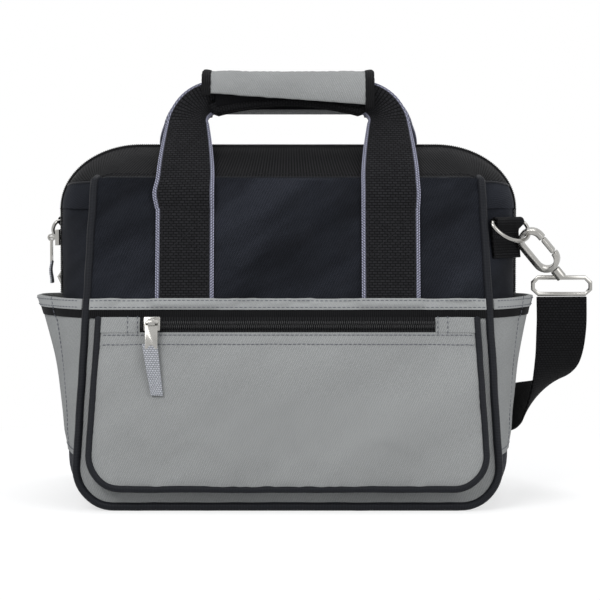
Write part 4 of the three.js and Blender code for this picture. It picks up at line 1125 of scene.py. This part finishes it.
rows = rounded_rows(pocket_half, POCKET_PIPING, 0.0, POCKET_CORNER, POCKET_FOLD, 26)
columns = spread(-1, 1, WALL_COLUMNS - 1)
face_rows = []
for up, half in rows:
    line = []
    for c in columns:
        edge = eased(min((1 - abs(c)) * half, up - POCKET_PIPING + 0.5 * MM), 8 * MM)
        level = (up - POCKET_FOLD / 2) / (POCKET_FOLD / 2)
        swell = POCKET_CROWN * (1 - c ** 4) * (1 - level ** 4)
        line.append(on_pocket(c * half, up, -1 * MM * (1 - edge) + swell))
    face_rows.append(line)
pocket_face = sheet_piece("pocket_front_cloth", face_rows, grey_cloth,
                          uv=lambda i, j: (columns[j] * rows[i][1], rows[i][0]))
sewn = border(len(rows), WALL_COLUMNS)
sewn |= {(len(rows) - 2) * WALL_COLUMNS + j for j in range(WALL_COLUMNS)}
settle(pocket_face, sewn, pressure=0.5, slack=0.008, cap=0.8 * MM)
thicken(pocket_face, 2 * MM, 0.5 * MM)
put(pocket_face, "root", ["pocket_face"])
pocket_skin = BVHTree.FromObject(pocket_face, bpy.context.evaluated_depsgraph_get())
pocket_normal = (on_pocket(0, 0, 1) - on_pocket(0, 0, 0)).normalized()


def lay_on_pocket(x, up, lift):
    hit, _, _, _ = pocket_skin.ray_cast(on_pocket(x, up, RAY_REACH), -pocket_normal)
    return hit + pocket_normal * lift if hit else on_pocket(x, up, lift)


edge = rounded_path(pocket_half, POCKET_PIPING, 0.0, POCKET_CORNER, POCKET_TOP)
cord_line = [on_pocket(x, up, -1 * MM) for x, up in edge]
pocket_cord = tube_piece("pocket_edge_piping", uneven(cord_line, 0.3 * MM), POCKET_PIPING, piping_weave)
put(pocket_cord, "root", ["pocket_piping"])
wall_rows = []
for t in spread(0, 1, 5):
    line = []
    for x, up in edge:
        rim = on_pocket(x, up, -BELLOWS_SINK)
        panel_up = POCKET_BOTTOM + up * math.cos(POCKET_TILT) - BELLOWS_SINK * math.sin(POCKET_TILT)
        lean = 1 + 0.012 * (1 - t)
        foot = on_panel(x * lean, panel_up - 1.5 * MM * (1 - t) * (up < POCKET_CORNER), 0.2 * MM)
        line.append(foot.lerp(rim, t) + Vector((-x, 0, 0)).normalized() * 0.8 * MM * math.sin(math.pi * t))
    wall_rows.append(line)
sewn_piece("pocket_bellows", wall_rows, grey_cloth, 1.4 * MM, "grey_cloth", ["pocket_gusset"])
seam_lines = []
for up in (POCKET_FOLD - 2.2 * MM, POCKET_FOLD - 9.5 * MM):
    half = pocket_half(up) - 8 * MM
    seam_lines.append([lay_on_pocket(x, up, 0.3 * MM) for x in spread(-half, half, 140)])
stitches("pocket_fold_stitches", seam_lines, grey_thread, "trim")
print("front pocket: face, bellows, piping and stitches")

# %% [markdown]
# The pocket's zip shows as a ribbed black tape with a nylon coil along its middle, closed by a grey
# tab at each end. The coil is two rows of turns that lie between each other. The slider and its pull
# are fittings already; the pale woven tail hangs from the pull.

# %% Pocket zip
TAPE_SINK = 0.8 * MM
COIL_OUT = 1.25 * MM - TAPE_SINK
COIL_HALF_GAP = 1.35 * MM
TAPE_HALF = ZIP_WINDOW_HALF + 3 * MM
COIL_HALF = ZIP_WINDOW_HALF - 1 * MM
middle = (POCKET_FOLD + POCKET_TOP) / 2
tape_rows = [[on_pocket(x, up, -TAPE_SINK) for x in spread(-TAPE_HALF, TAPE_HALF, 40)]
             for up in spread(POCKET_FOLD - 1.5 * MM, POCKET_TOP + 0.5 * MM, 4)]
sewn_piece("pocket_zip_strip", tape_rows, zip_weave, 0.9 * MM, "zip", ["pocket_zip_tape"])
coil_lines = []
for shift, row in ((0, -1), (COIL_PITCH / 2, 1)):
    coil_lines.append([on_pocket(x + shift, middle + row * COIL_HALF_GAP, COIL_OUT)
                       for x in spread(-COIL_HALF, COIL_HALF, 60)])
ups = [[tuple(pocket_normal)] * len(line) for line in coil_lines]
zip_coil("pocket_zip_coil", coil_lines, ups, "pocket_zip_teeth")
for side, sign in SIGNS:
    tab_rows = []
    for up in spread(POCKET_FOLD - 0.5 * MM, POCKET_TOP + 0.3 * MM, 8):
        ends = (sign * ZIP_WINDOW_HALF, sign * (pocket_half(up) - POCKET_PIPING - 1.5 * MM))
        tab_rows.append([on_pocket(x, up, 0.1 * MM + 0.5 * MM * math.sin(math.pi * k / 10))
                         for k, x in enumerate(spread(min(ends), max(ends), 10))])
    sewn_piece(f"pocket_zip_tab_{side}", tab_rows, grey_cloth, 1.8 * MM, "grey_cloth",
               [f"pocket_zip_end_{side}"], edge=0.4 * MM)
    heights = spread(POCKET_FOLD, POCKET_TOP, 12)
    lines = [[on_pocket(sign * (ZIP_WINDOW_HALF + beyond), up, lift) for up in heights]
             for beyond, lift in ((9 * MM, 0.75 * MM), (1.8 * MM, 0.55 * MM))]
    stitches(f"pocket_zip_tab_{side}_stitches", lines, grey_thread, "trim", length=2.2 * MM, pitch=2.8 * MM)


def pull_tail(name, node, body, drape):
    """The woven tail of a pull: its solid's outline, a little twisted."""
    low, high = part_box(node)
    mesh = cad[node].data
    top = [v.co for v in mesh.vertices if v.co.z > high.z - 1 * MM]
    foot = [v.co for v in mesh.vertices if v.co.z < low.z + 1 * MM]
    ends = []
    for group in (top, foot):
        centre = sum(group, Vector()) / len(group)
        side = max(group, key=lambda p: (p - centre).dot(drape)) - centre
        ends.append((centre, side - side.project(drape.cross(Vector((0, 0, 1))))))
    rows = []
    (start, wide), (end, foot_wide) = ends
    outward = drape.cross(Vector((0, 0, 1)))
    for t in spread(-0.12, 1, 22):
        centre = start.lerp(end, t) + outward * 0.6 * MM * math.sin(5 * t)
        half = wide.lerp(foot_wide, max(t, 0))
        rows.append([centre + half * c + outward * 0.5 * MM * c * t for c in spread(-1, 1, 8)])
    sewn_piece(name, rows, tail_weave, 1.3 * MM, "tail_tape", [node], body=body, edge=0.4 * MM, offset=0)


pull_tail("pocket_tail_tape", "pocket_pull_tail", "pocket_pull", Vector((1, 0, 0)))
pull_tail("main_tail_tape", "main_pull_tail", "main_pull", Vector((0, -1, 0)))
print("pocket zip: tape, coil of two rows, tabs and tails")

# %% [markdown]
# The base is black cloth, flat underneath, rounded along its short ends and turned up at the sides.
# The sides are blue-black gussets that bulge, with the zip's coil running down their middle. On each
# side a grey open pocket gapes a little at its top, and a ribbon and a band finish its mouth. The base
# and the gussets reach a little past their edges, as a seam allowance does, to close on the piping.

# %% Base, sides and side pockets
SEAM_SHARE = 1.035
base_rows = []
for across in spread(-SEAM_SHARE, SEAM_SHARE, 24):
    half = []
    for height in spread(BASE_WRAP_HEIGHT, CORNER_RADIUS, 2)[:-1]:
        half.append(on_gusset(height, across))
    for turn in spread(0, math.pi / 2, 12):
        height = CORNER_RADIUS * (1 - math.sin(turn))
        point = on_gusset(height, across)
        half.append(Vector((point.x - CORNER_RADIUS * (1 - math.cos(turn)), point.y, height)))
    flat = [Vector((half[-1].x * t, half[-1].y, 0)) for t in spread(1, -1, 16)[1:-1]]
    base_rows.append(half + flat + [Vector((-p.x, p.y, p.z)) for p in half[::-1]])
sewn_piece("base_cloth", base_rows, black_cloth, CLOTH, "black_cloth", ["base_panel"],
           inside=Vector((0, 0, 60 * MM)))
GAPES = {"right": 11 * MM, "left": 16 * MM}
POCKET_SEAM = {"right": -0.5, "left": 0.58}
SEAM_PULL = 1.2 * MM
SIDE_ZIP_LOW = 154 * MM
SIDE_ZIP_HIGH = 217 * MM
SIDE_TAPE_LOW = 152 * MM
SIDE_TAPE_SHARE = 0.13
BAND_PROUD = 1.4 * MM


def gape(side, height, across):
    rise = max(height - BASE_WRAP_HEIGHT, 0) / (BAND_HIGH - BASE_WRAP_HEIGHT)
    return 0.3 * MM + GAPES[side] * rise ** 2 * (1 - across * across)


def pocket_out(side, height, across):
    """How far the pocket's outer face stands off the side; it dips along its seam and closes at its hem."""
    hem = 0.3 + 0.7 * eased(height - BASE_WRAP_HEIGHT + 4 * MM, 16 * MM)
    fold = math.exp(-((across - POCKET_SEAM[side]) / 0.1) ** 2)
    return (gape(side, height, across) + CLOTH - SEAM_PULL * fold) * hem


def side_sheet(name, side, low, high, material, thickness, slot, node, lift=0.0, gaping=True, steps=24,
               share=1.0, wave_height=0.0, edge=0.0):
    left = side == "left"
    rows = []
    for height in spread(low, high, steps):
        line = []
        for across in spread(-share, share, 48):
            out = pocket_out(side, height, across) if gaping else 0.0
            ripple = noise.noise(Vector((height * 28, across * 2.2, 3 if left else 8))) * (1 - across ** 4)
            line.append(on_gusset(height, across, out + lift + wave_height * ripple, left))
        rows.append(line)
    sewn_piece(name, rows, material, thickness, slot, [node], edge=edge)


def side_seams(side):
    """Sews the band, the upright seam and the hem of a side pocket."""
    left = side == "left"
    across = POCKET_SEAM[side]

    def on_side(height, place, lift):
        return on_gusset(height, place, pocket_out(side, height, place) + lift, left)

    lines = [[on_side(height, a, 1.5 * MM) for a in spread(-0.94, 0.94, 90)]
             for height in (BAND_LOW + BAND_SEAM_LOW, BAND_HIGH - BAND_SEAM_HIGH)]
    lines.append([on_side(h, across, (1.5 if h > RIBBON_LOW else 0.15) * MM)
                  for h in spread(BASE_WRAP_HEIGHT + 2 * MM, BAND_HIGH - 1 * MM, 60)])
    stitches(f"{side}_pocket_stitches", lines, grey_thread, "trim")
    hem = [on_side(BASE_WRAP_HEIGHT, a, 0.15 * MM) for a in spread(-0.96, 0.96, 80)]
    stitches(f"{side}_hem_stitches", [hem], grey_thread, "trim")


def bag_side(side):
    left = side == "left"
    side_sheet(f"{side}_side_cloth", side, BASE_WRAP_HEIGHT - 3 * MM, FOLD_HEIGHT + 0.6 * MM, black_cloth,
               CLOTH, "black_cloth", f"{side}_gusset", gaping=False, share=SEAM_SHARE, wave_height=1.6 * MM)
    side_sheet(f"{side}_side_pocket", side, BASE_WRAP_HEIGHT - 4 * MM, BAND_LOW + 1 * MM, grey_cloth, CLOTH,
               "grey_cloth", f"{side}_pocket", wave_height=1.2 * MM)
    side_sheet(f"{side}_side_ribbon", side, RIBBON_LOW, BAND_LOW + 1 * MM, ribbon_weave, 0.8 * MM, "trim",
               f"{side}_pocket_ribbon", 0.8 * MM, steps=3, edge=0.2 * MM)
    side_sheet(f"{side}_side_band", side, BAND_LOW, BAND_HIGH, band_cloth, CLOTH + BAND_PROUD, "grey_cloth",
               f"{side}_pocket_band", BAND_PROUD, steps=4, edge=0.6 * MM)
    side_seams(side)
    coil_lines = []
    for shift, row in ((0, -1), (COIL_PITCH / 2, 1)):
        column = [Vector((MIDDLE_HALF_WIDTH + 1.3 * MM, row * COIL_HALF_GAP, h + shift))
                  for h in spread(SIDE_ZIP_LOW, SIDE_ZIP_HIGH, 30)]
        coil_lines.append([half_turn(p, left) for p in column])
    ups = [[tuple(half_turn(Vector((1, 0, 0)), left))] * len(line) for line in coil_lines]
    zip_coil(f"{side}_side_coil", coil_lines, ups, f"{side}_zip_chain")
    tape_rows = [[on_gusset(h, a, 0.35 * MM, left) for a in spread(-SIDE_TAPE_SHARE, SIDE_TAPE_SHARE, 6)]
                 for h in spread(SIDE_TAPE_LOW, FOLD_HEIGHT, 20)]
    sewn_piece(f"{side}_side_zip_tape", tape_rows, zip_weave, 0.5 * MM, "zip")


for side in ("right", "left"):
    bag_side(side)
print("base, two sides and two side pockets")

# %% [markdown]
# Webbing tabs hold the two rings. Each tab goes round the straight side of its ring and is sewn to
# the side just below it. The tab is drawn as a section: up the flat tail, out round the wire and back
# to the cloth, and is then swept across its width.

# %% Ring tabs
TAB_PLACE = -0.64
TAB_WIDTH = 38 * MM
TAB_THICKNESS = 1.6 * MM
TAB_SEAT = 0.6 * MM
TAB_BAR_HEIGHT = 208 * MM
TAB_DROP = 27 * MM
RING_WIRE = 3.2 * MM
TAB_FOLD_RADIUS = RING_WIRE / 2 + 0.4 * MM + TAB_THICKNESS


def ring_tab(side):
    left = side == "left"
    slope = -2 * (MIDDLE_HALF_WIDTH - gusset_edge(TAB_BAR_HEIGHT)) * TAB_PLACE
    turn = math.atan2(gusset_depth(TAB_BAR_HEIGHT), slope)
    seat = on_gusset(TAB_BAR_HEIGHT, TAB_PLACE)
    outward = Vector((math.sin(turn), -math.cos(turn), 0))
    lean = math.atan((on_gusset(TAB_BAR_HEIGHT - 1 * MM, TAB_PLACE) - seat).dot(outward) / MM)
    facing = Matrix.Rotation(turn, 3, "Z") @ Matrix.Rotation(-lean, 3, "X")

    def on_tab(x, out, z):
        point = seat + facing @ Vector((x, -out, z))
        return half_turn(point, left)

    radius = TAB_FOLD_RADIUS
    section = [(TAB_SEAT + TAB_THICKNESS, z) for z in spread(-TAB_DROP, -radius - 4 * MM, 8)]
    section.append((TAB_SEAT + TAB_THICKNESS + 0.5 * MM, -radius - 2 * MM))
    for angle in spread(-65, 180, 18):
        a = math.radians(angle)
        section.append((TAB_SEAT + radius + radius * math.cos(a), radius * math.sin(a)))
    rows = [[on_tab(x, out, z) for x in spread(-TAB_WIDTH / 2, TAB_WIDTH / 2, 12)] for out, z in section]
    run = running_length([Vector((out, z, 0)) for out, z in section])
    sewn_piece(f"{side}_webbing_tab", rows, strap_weave, TAB_THICKNESS, "webbing", [f"{side}_ring_tab"],
               edge=0.4 * MM, uv=lambda i, j: (TAB_WIDTH * j / 12, run[i]))
    lines = [[on_tab(x, TAB_SEAT + TAB_THICKNESS + 0.15 * MM, z) for x in spread(-16 * MM, 16 * MM, 16)]
             for z in (-radius - 4.5 * MM, -radius - 7.5 * MM, -TAB_DROP + 3 * MM)]
    stitches(f"{side}_tab_stitches", lines, black_thread, "webbing", length=2.2 * MM, pitch=2.8 * MM)


for side in ("right", "left"):
    ring_tab(side)
print("ring tabs:", TAB_WIDTH, "m wide")

# %% [markdown]
# The mouth is closed by a ribbed zip tape that rises from the top seam of each wall and bows in to the
# middle, where the coils meet, and a thin cord runs along inside each coil. At the ends of the bag the
# same strip is plain cloth below the line of the seam, and its ends stay on the sides.

# %% Mouth tape and coil
MOUTH_LOW = FOLD_HEIGHT + 0.3 * MM
ZIP_TOP = 265 * MM
SEAM_FLAT_HALF = 135 * MM
ZIP_FLAT_HALF = 112 * MM
TAPE_CROWN = 4 * MM
TAPE_EDGE = 2.2 * MM
SEAM_REACH = 2.8 * MM
TAPE_THICKNESS = 1.8 * MM
TAPE_HEIGHT = 40 * MM
MOUTH_BEND_TOP = 236 * MM


def mouth_edge(flat_half, end_half, low, top):
    right = [(x, top) for x in spread(0, flat_half, 30)]
    right += [(flat_half + (end_half - flat_half) * math.sin(t), low + (top - low) * math.cos(t))
              for t in spread(0, math.pi / 2, 30)[1:]]
    return [(-x, z) for x, z in right[:0:-1]] + right


seam_edge = mouth_edge(SEAM_FLAT_HALF, gusset_edge(FOLD_HEIGHT), MOUTH_LOW, SEAM_HEIGHT + 0.3 * MM)
zip_edge = mouth_edge(ZIP_FLAT_HALF, MIDDLE_HALF_WIDTH, MOUTH_LOW, ZIP_TOP)


def on_mouth(i, t, lift=0.0, rear=False):
    """A point between the seam (t = 0) and the zip (t = 1), in column i."""
    (seam_x, seam_z), (zip_x, zip_z) = seam_edge[i], zip_edge[i]
    level = (zip_z - MOUTH_LOW) / (ZIP_TOP - MOUTH_LOW)
    x = seam_x + (zip_x - seam_x) * (1 - (1 - t) ** 2)
    y = -(gusset_depth(seam_z) + SEAM_REACH) * (1 - t) - TAPE_EDGE * t
    z = seam_z + (zip_z - seam_z) * t + TAPE_CROWN * level * 4 * t * (1 - t)
    sag = 0.9 * MM * noise.noise(Vector((x * 25, 7 if rear else 2, t * 2))) * math.sin(math.pi * t)
    point = Vector((x, y, z + lift + sag))
    return half_turn(point, rear)


def seam_share(i):
    """How far up column i the seam between cloth and tape lies."""
    (_, seam_z), (_, zip_z) = seam_edge[i], zip_edge[i]
    across = max(abs(seam_edge[i][0]) - SEAM_FLAT_HALF, 0) / (gusset_edge(FOLD_HEIGHT) - SEAM_FLAT_HALF)
    line = SEAM_HEIGHT + 0.3 * MM - 6 * MM * across
    return min(max((line - seam_z) / max(zip_z - seam_z, 0.1 * MM), 0.0), 1.0)


def mouth_half(half, rear):
    bend = (f"{half}_mouth", Vector((0, 0, MOUTH_LOW)), Vector((0, 0, MOUTH_BEND_TOP)))
    last = len(seam_edge) - 1
    shares = [seam_share(i) for i in range(last + 1)]
    columns = [i for i in range(last + 1) if shares[i] < 0.985]
    run = running_length([on_mouth(i, 0.5) for i in columns])
    rows = [[on_mouth(i, shares[i] + (1 - shares[i]) * t, 0, rear) for i in columns]
            for t in spread(0, 1, 12)]
    nodes = [f"{half}_mouth_tape"]
    sewn_piece(f"{half}_ribbed_tape", rows, zip_weave, TAPE_THICKNESS, "zip", nodes, bend,
               uv=lambda i, j: (run[j], TAPE_HEIGHT * i / 12))
    for name, first in (("left", True), ("right", False)):
        group = [i for i in range(last + 1) if shares[i] > 0.02 and (i < last / 2) == first]
        rows = [[on_mouth(i, shares[i] * t, 0, rear) for i in group] for t in spread(0, 1, 8)]
        sewn_piece(f"{half}_mouth_end_{name}", rows, black_cloth, TAPE_THICKNESS, "black_cloth", nodes, bend)
    welt = [on_mouth(i, min(shares[i] + 0.02, 1), 0.1 * MM, rear) for i in columns]
    put(tube_piece(f"{half}_top_seam", welt, 0.9 * MM, piping_weave, 8), "root", (), bend)
    seam = [on_mouth(i, min(shares[i] + 0.1, 1), 0.2 * MM, rear) for i in columns]
    stitches(f"{half}_tape_stitches", [seam], black_thread, "trim", bend)
    line, core, ups = [], [], []
    for i, (x, z) in enumerate(zip_edge):
        before, after = zip_edge[max(i - 1, 0)], zip_edge[min(i + 1, last)]
        way = Vector((before[1] - after[1], 0, after[0] - before[0])).normalized()
        point = Vector((x, -COIL_HALF_GAP, z)) + way * 1.3 * MM
        under = point - way * 0.85 * MM
        line.append(half_turn(point, rear))
        core.append(half_turn(under, rear))
        ups.append(tuple(half_turn(way, rear)))
    zip_coil(f"{half}_mouth_coil", [line], [ups], f"{half}_zip_teeth", bend)
    put(tube_piece(f"{half}_coil_cord", core, 1.3 * MM, zip_weave, 8), "root", (), bend)


for half, rear in HALVES:
    mouth_half(half, rear)
print("mouth: two tapes and two coils, zip top at", ZIP_TOP)

# %% [markdown]
# Each handle is one length of striped webbing. It leaves the wall at the fold, leans in to the middle
# of the bag, turns over and is rolled up inside the grip. The section curls more and more on the way.
# The front loop sags outwards a little on the left, over the top of its sewn leg.

# %% Handle webbing
HANDLE_START = FOLD + 0.05 * MM
CORNER_UP = SEAM + LEG_THICKNESS - HANDLE_START
WEBBING_MIDDLE = 0.3 * MM + LEG_THICKNESS / 2
GRIP_HEIGHT = 302.5 * MM
GRIP_OFFSET = 8 * MM
GRIP_WEBBING_WIDTH = 24.4 * MM
HANDLE_BEND = 22 * MM
KNEE_DROP = GRIP_WEBBING_WIDTH / 2 + LEG_THICKNESS
corner = on_panel(0, HANDLE_START + CORNER_UP, WEBBING_MIDDLE)
knee = Vector((0, -GRIP_OFFSET, GRIP_HEIGHT - KNEE_DROP))
KNEE_UP = CORNER_UP + (knee - corner).length
GRIP_UP = KNEE_UP + KNEE_DROP
ROLL_CURL = 4 * MM
CORNER_EASE = 10 * MM
LOOP_BEND = 14 * MM
LOOP_COLUMNS = 14
SAG_HEIGHT = 11 * MM
SAG_SPREAD = 9 * MM
REAR_WIDER = 5 * MM
ARCH = 7.4 * MM
SAG = {("front", -1): 2.6 * MM, ("front", 1): 0.8 * MM, ("rear", -1): 1.0 * MM, ("rear", 1): 1.4 * MM}


def cornered_path(x, up, out):
    if up <= CORNER_UP:
        return on_panel(x, HANDLE_START + up, WEBBING_MIDDLE + out)
    if up > KNEE_UP:
        return Vector((x, knee.y - out, knee.z + up - KNEE_UP))
    along = (knee - corner).normalized()
    point = corner + along * (up - CORNER_UP)
    return Vector((x, point.y - along.z * out, point.z + along.y * out))


def on_handle(x, up, out):
    """A point of the loop; its two corners are eased by averaging the path over a short length."""
    reach = min(CORNER_EASE, up)
    near = [cornered_path(x, up + reach * k / 4, out) for k in range(-4, 5)]
    return sum(near, Vector()) / len(near)


def handle_stations():
    """Left half of the loop: place across and up, heading, and how far it is rolled."""
    bend_up = GRIP_UP - HANDLE_BEND
    bend_x = LEG_OFFSET - HANDLE_BEND
    path = [(-LEG_OFFSET, up, math.pi / 2) for up in spread(0, bend_up, 26)]
    path += [(-bend_x - HANDLE_BEND * math.cos(t), bend_up + HANDLE_BEND * math.sin(t), math.pi / 2 - t)
             for t in spread(0, math.pi / 2, 16)[1:]]
    path += [(x, GRIP_UP, 0.0) for x in spread(-bend_x, 0, 14)[1:]]
    return [(x, up, heading, max(up - CORNER_UP, 0) / (GRIP_UP - CORNER_UP)) for x, up, heading in path]


def handle_section(half, x, up, heading, roll):
    arch = max(1 - (x / (LEG_OFFSET - HANDLE_BEND)) ** 2, 0) if roll > 0.999 else 0.0
    width = HANDLE_WIDTH + (GRIP_WEBBING_WIDTH - HANDLE_WIDTH) * roll ** 1.5 - ARCH * arch
    curl = ROLL_CURL * roll ** 1.5
    sign = -1 if x < 0 else 1
    loose = SAG[(half, sign)] * math.exp(-((up - SAG_HEIGHT) / SAG_SPREAD) ** 2)
    wider = (REAR_WIDER if half == "rear" else 0.0) * math.sin(math.pi * min(roll, 1)) ** 2
    points = []
    for e in spread(-0.5, 0.5, LOOP_COLUMNS):
        slope = loose * (1 + 1.1 * sign * e * math.copysign(1, heading))
        out = curl * (1 - 4 * e * e) - curl * 0.3 + slope
        side = x - e * width * math.sin(heading) + sign * (loose * (0.5 + e) + wider)
        points.append(on_handle(side, up + e * width * math.cos(heading) + ARCH / 2 * arch, out))
    return points


def handle_loop(half, rear):
    left = handle_stations()
    loop = left + [(-x, up, -heading, roll) for x, up, heading, roll in left[-2::-1]]
    rows = [handle_section(half, *station) for station in loop]
    rows = [[half_turn(p, rear) for p in row] for row in rows]
    run = running_length([row[LOOP_COLUMNS // 2] for row in rows])
    bend = (f"{half}_handle", Vector((0, 0, FOLD_HEIGHT)), Vector((0, 0, FOLD_HEIGHT + LOOP_BEND)))
    sewn_piece(f"{half}_handle_loop", rows, handle_weave, LEG_THICKNESS, "webbing",
               [f"{half}_handle_webbing"], bend, f"{half}_mouth", edge=0.2 * MM, offset=0,
               uv=lambda i, j: (HANDLE_WIDTH * j / LOOP_COLUMNS, run[i]))
    return rows


handle_rows = {half: handle_loop(half, rear) for half, rear in HALVES}
print("handles rolled to", GRIP_WEBBING_WIDTH, "m in the grip")

# %% [markdown]
# The grip is a padded grey wrap, open along its underside, with black tape bound over both ends. The
# front flap hangs lower on the right than on the left, and the rolled webbing shows below it as a black
# arched welt. The wrap's cloth is filled out by the same cloth run as the walls.

# %% Grip
GRIP_HALF_LENGTH = 64 * MM
GRIP_PAD = 4 * MM
GRIP_HALF_DEPTH = 21 * MM
GRIP_HALF_HEIGHT = 20 * MM
GRIP_SPLIT = 0.4 * MM
BINDING_SECTION = [(7, 0.5), (3.5, 1.2), (1.5, 1.1), (0, -0.2), (0, -3.4), (1.2, -4.6), (7, -4.4)]
BINDING_MIDDLE = 3.5 * MM
WELT_RADIUS = 3.1 * MM
PAD_SWEEP = {"front": (82, 110), "rear": (130, 130)}


def on_grip(half, x, turn, lift=0.0):
    """A point of the wrap, turned down from its top by turn degrees."""
    t = math.radians(turn)
    y = -GRIP_SPLIT - (GRIP_HALF_DEPTH + lift) * math.sin(t)
    point = Vector((x, y, GRIP_HEIGHT + (GRIP_HALF_HEIGHT + lift) * math.cos(t)))
    return half_turn(Vector((-x, y, point.z))) if half == "rear" else point


def pad_sweep(half, x):
    first, last = PAD_SWEEP[half]
    return first + (last - first) * (x + GRIP_HALF_LENGTH) / (2 * GRIP_HALF_LENGTH)


def grip_half(half):
    body = f"{half}_handle"
    xs = spread(-GRIP_HALF_LENGTH, GRIP_HALF_LENGTH, 48)
    rows = [[on_grip(half, x, pad_sweep(half, x) * t) for x in xs] for t in spread(0, 1, 18)]
    pad = sheet_piece(f"{half}_grip_cover", rows, grey_cloth, inside=Vector((0, 0, GRIP_HEIGHT)))
    settle(pad, border(len(rows), len(xs)), pressure=1.6, slack=0.01, cap=1.2 * MM)
    thicken(pad, GRIP_PAD - 0.4 * MM, 1.3 * MM)
    put(pad, body, [f"{half}_grip_pad"])
    for name, sign in SIGNS:
        end = sign * (GRIP_HALF_LENGTH + 1.2 * MM)
        low = pad_sweep(half, end) + 6
        rows = []
        for t in spread(0.0, low, 22):
            rough = 0.35 * MM * noise.noise(Vector((t * 0.11, sign * 3.0, 5 if half == "rear" else 1)))
            rows.append([on_grip(half, end - sign * back * MM + rough, t, lift * MM + rough)
                         for back, lift in BINDING_SECTION])
        sewn_piece(f"{half}_grip_binding_{name}", rows, ribbon_weave, 0.9 * MM, "trim", body=body,
                   edge=0.2 * MM, inside=on_grip(half, end - sign * BINDING_MIDDLE, low / 2, -2 * MM))


def grip_inside(half):
    """The arched welt along the lower edge of the rolled webbing, and a near-black sheet behind it that makes
    the gap under the wrap dark.
    """
    body = f"{half}_handle"
    way = 1 if half == "rear" else -1
    low = [min(row, key=lambda p: p.z) for row in handle_rows[half]]
    low = [p for p in low if abs(p.x) < GRIP_HALF_LENGTH - 9 * MM and p.z > GRIP_HEIGHT - 16 * MM]
    line = [p + Vector((0, way * 4.5 * MM, 1.2 * MM)) for p in low]
    tucked = [p + Vector((math.copysign(2.5 * MM, p.x), 0, 6 * MM)) for p in (line[0], line[-1])]
    roll = tucked[:1] + line + tucked[1:]
    put(tube_piece(f"{half}_rolled_welt", roll, WELT_RADIUS, strap_weave), body)
    # A near-black sheet hangs from inside the wrap down to the welt, so the gap under the wrap shows dark.
    hung = [on_grip(half, p.x, pad_sweep(half, p.x) - 9, -GRIP_PAD - 0.4 * MM) for p in line]
    rows = [[top.lerp(p, t) for top, p in zip(hung, line)] for t in spread(0, 1, 6)]
    sewn_piece(f"{half}_grip_under_sheet", rows, under_wrap_cloth, 1.0 * MM, "black_cloth", body=body,
               inside=Vector((0, 0, GRIP_HEIGHT)))


for half in ("front", "rear"):
    grip_half(half)
    grip_inside(half)
print("grip: two padded halves with bound ends")
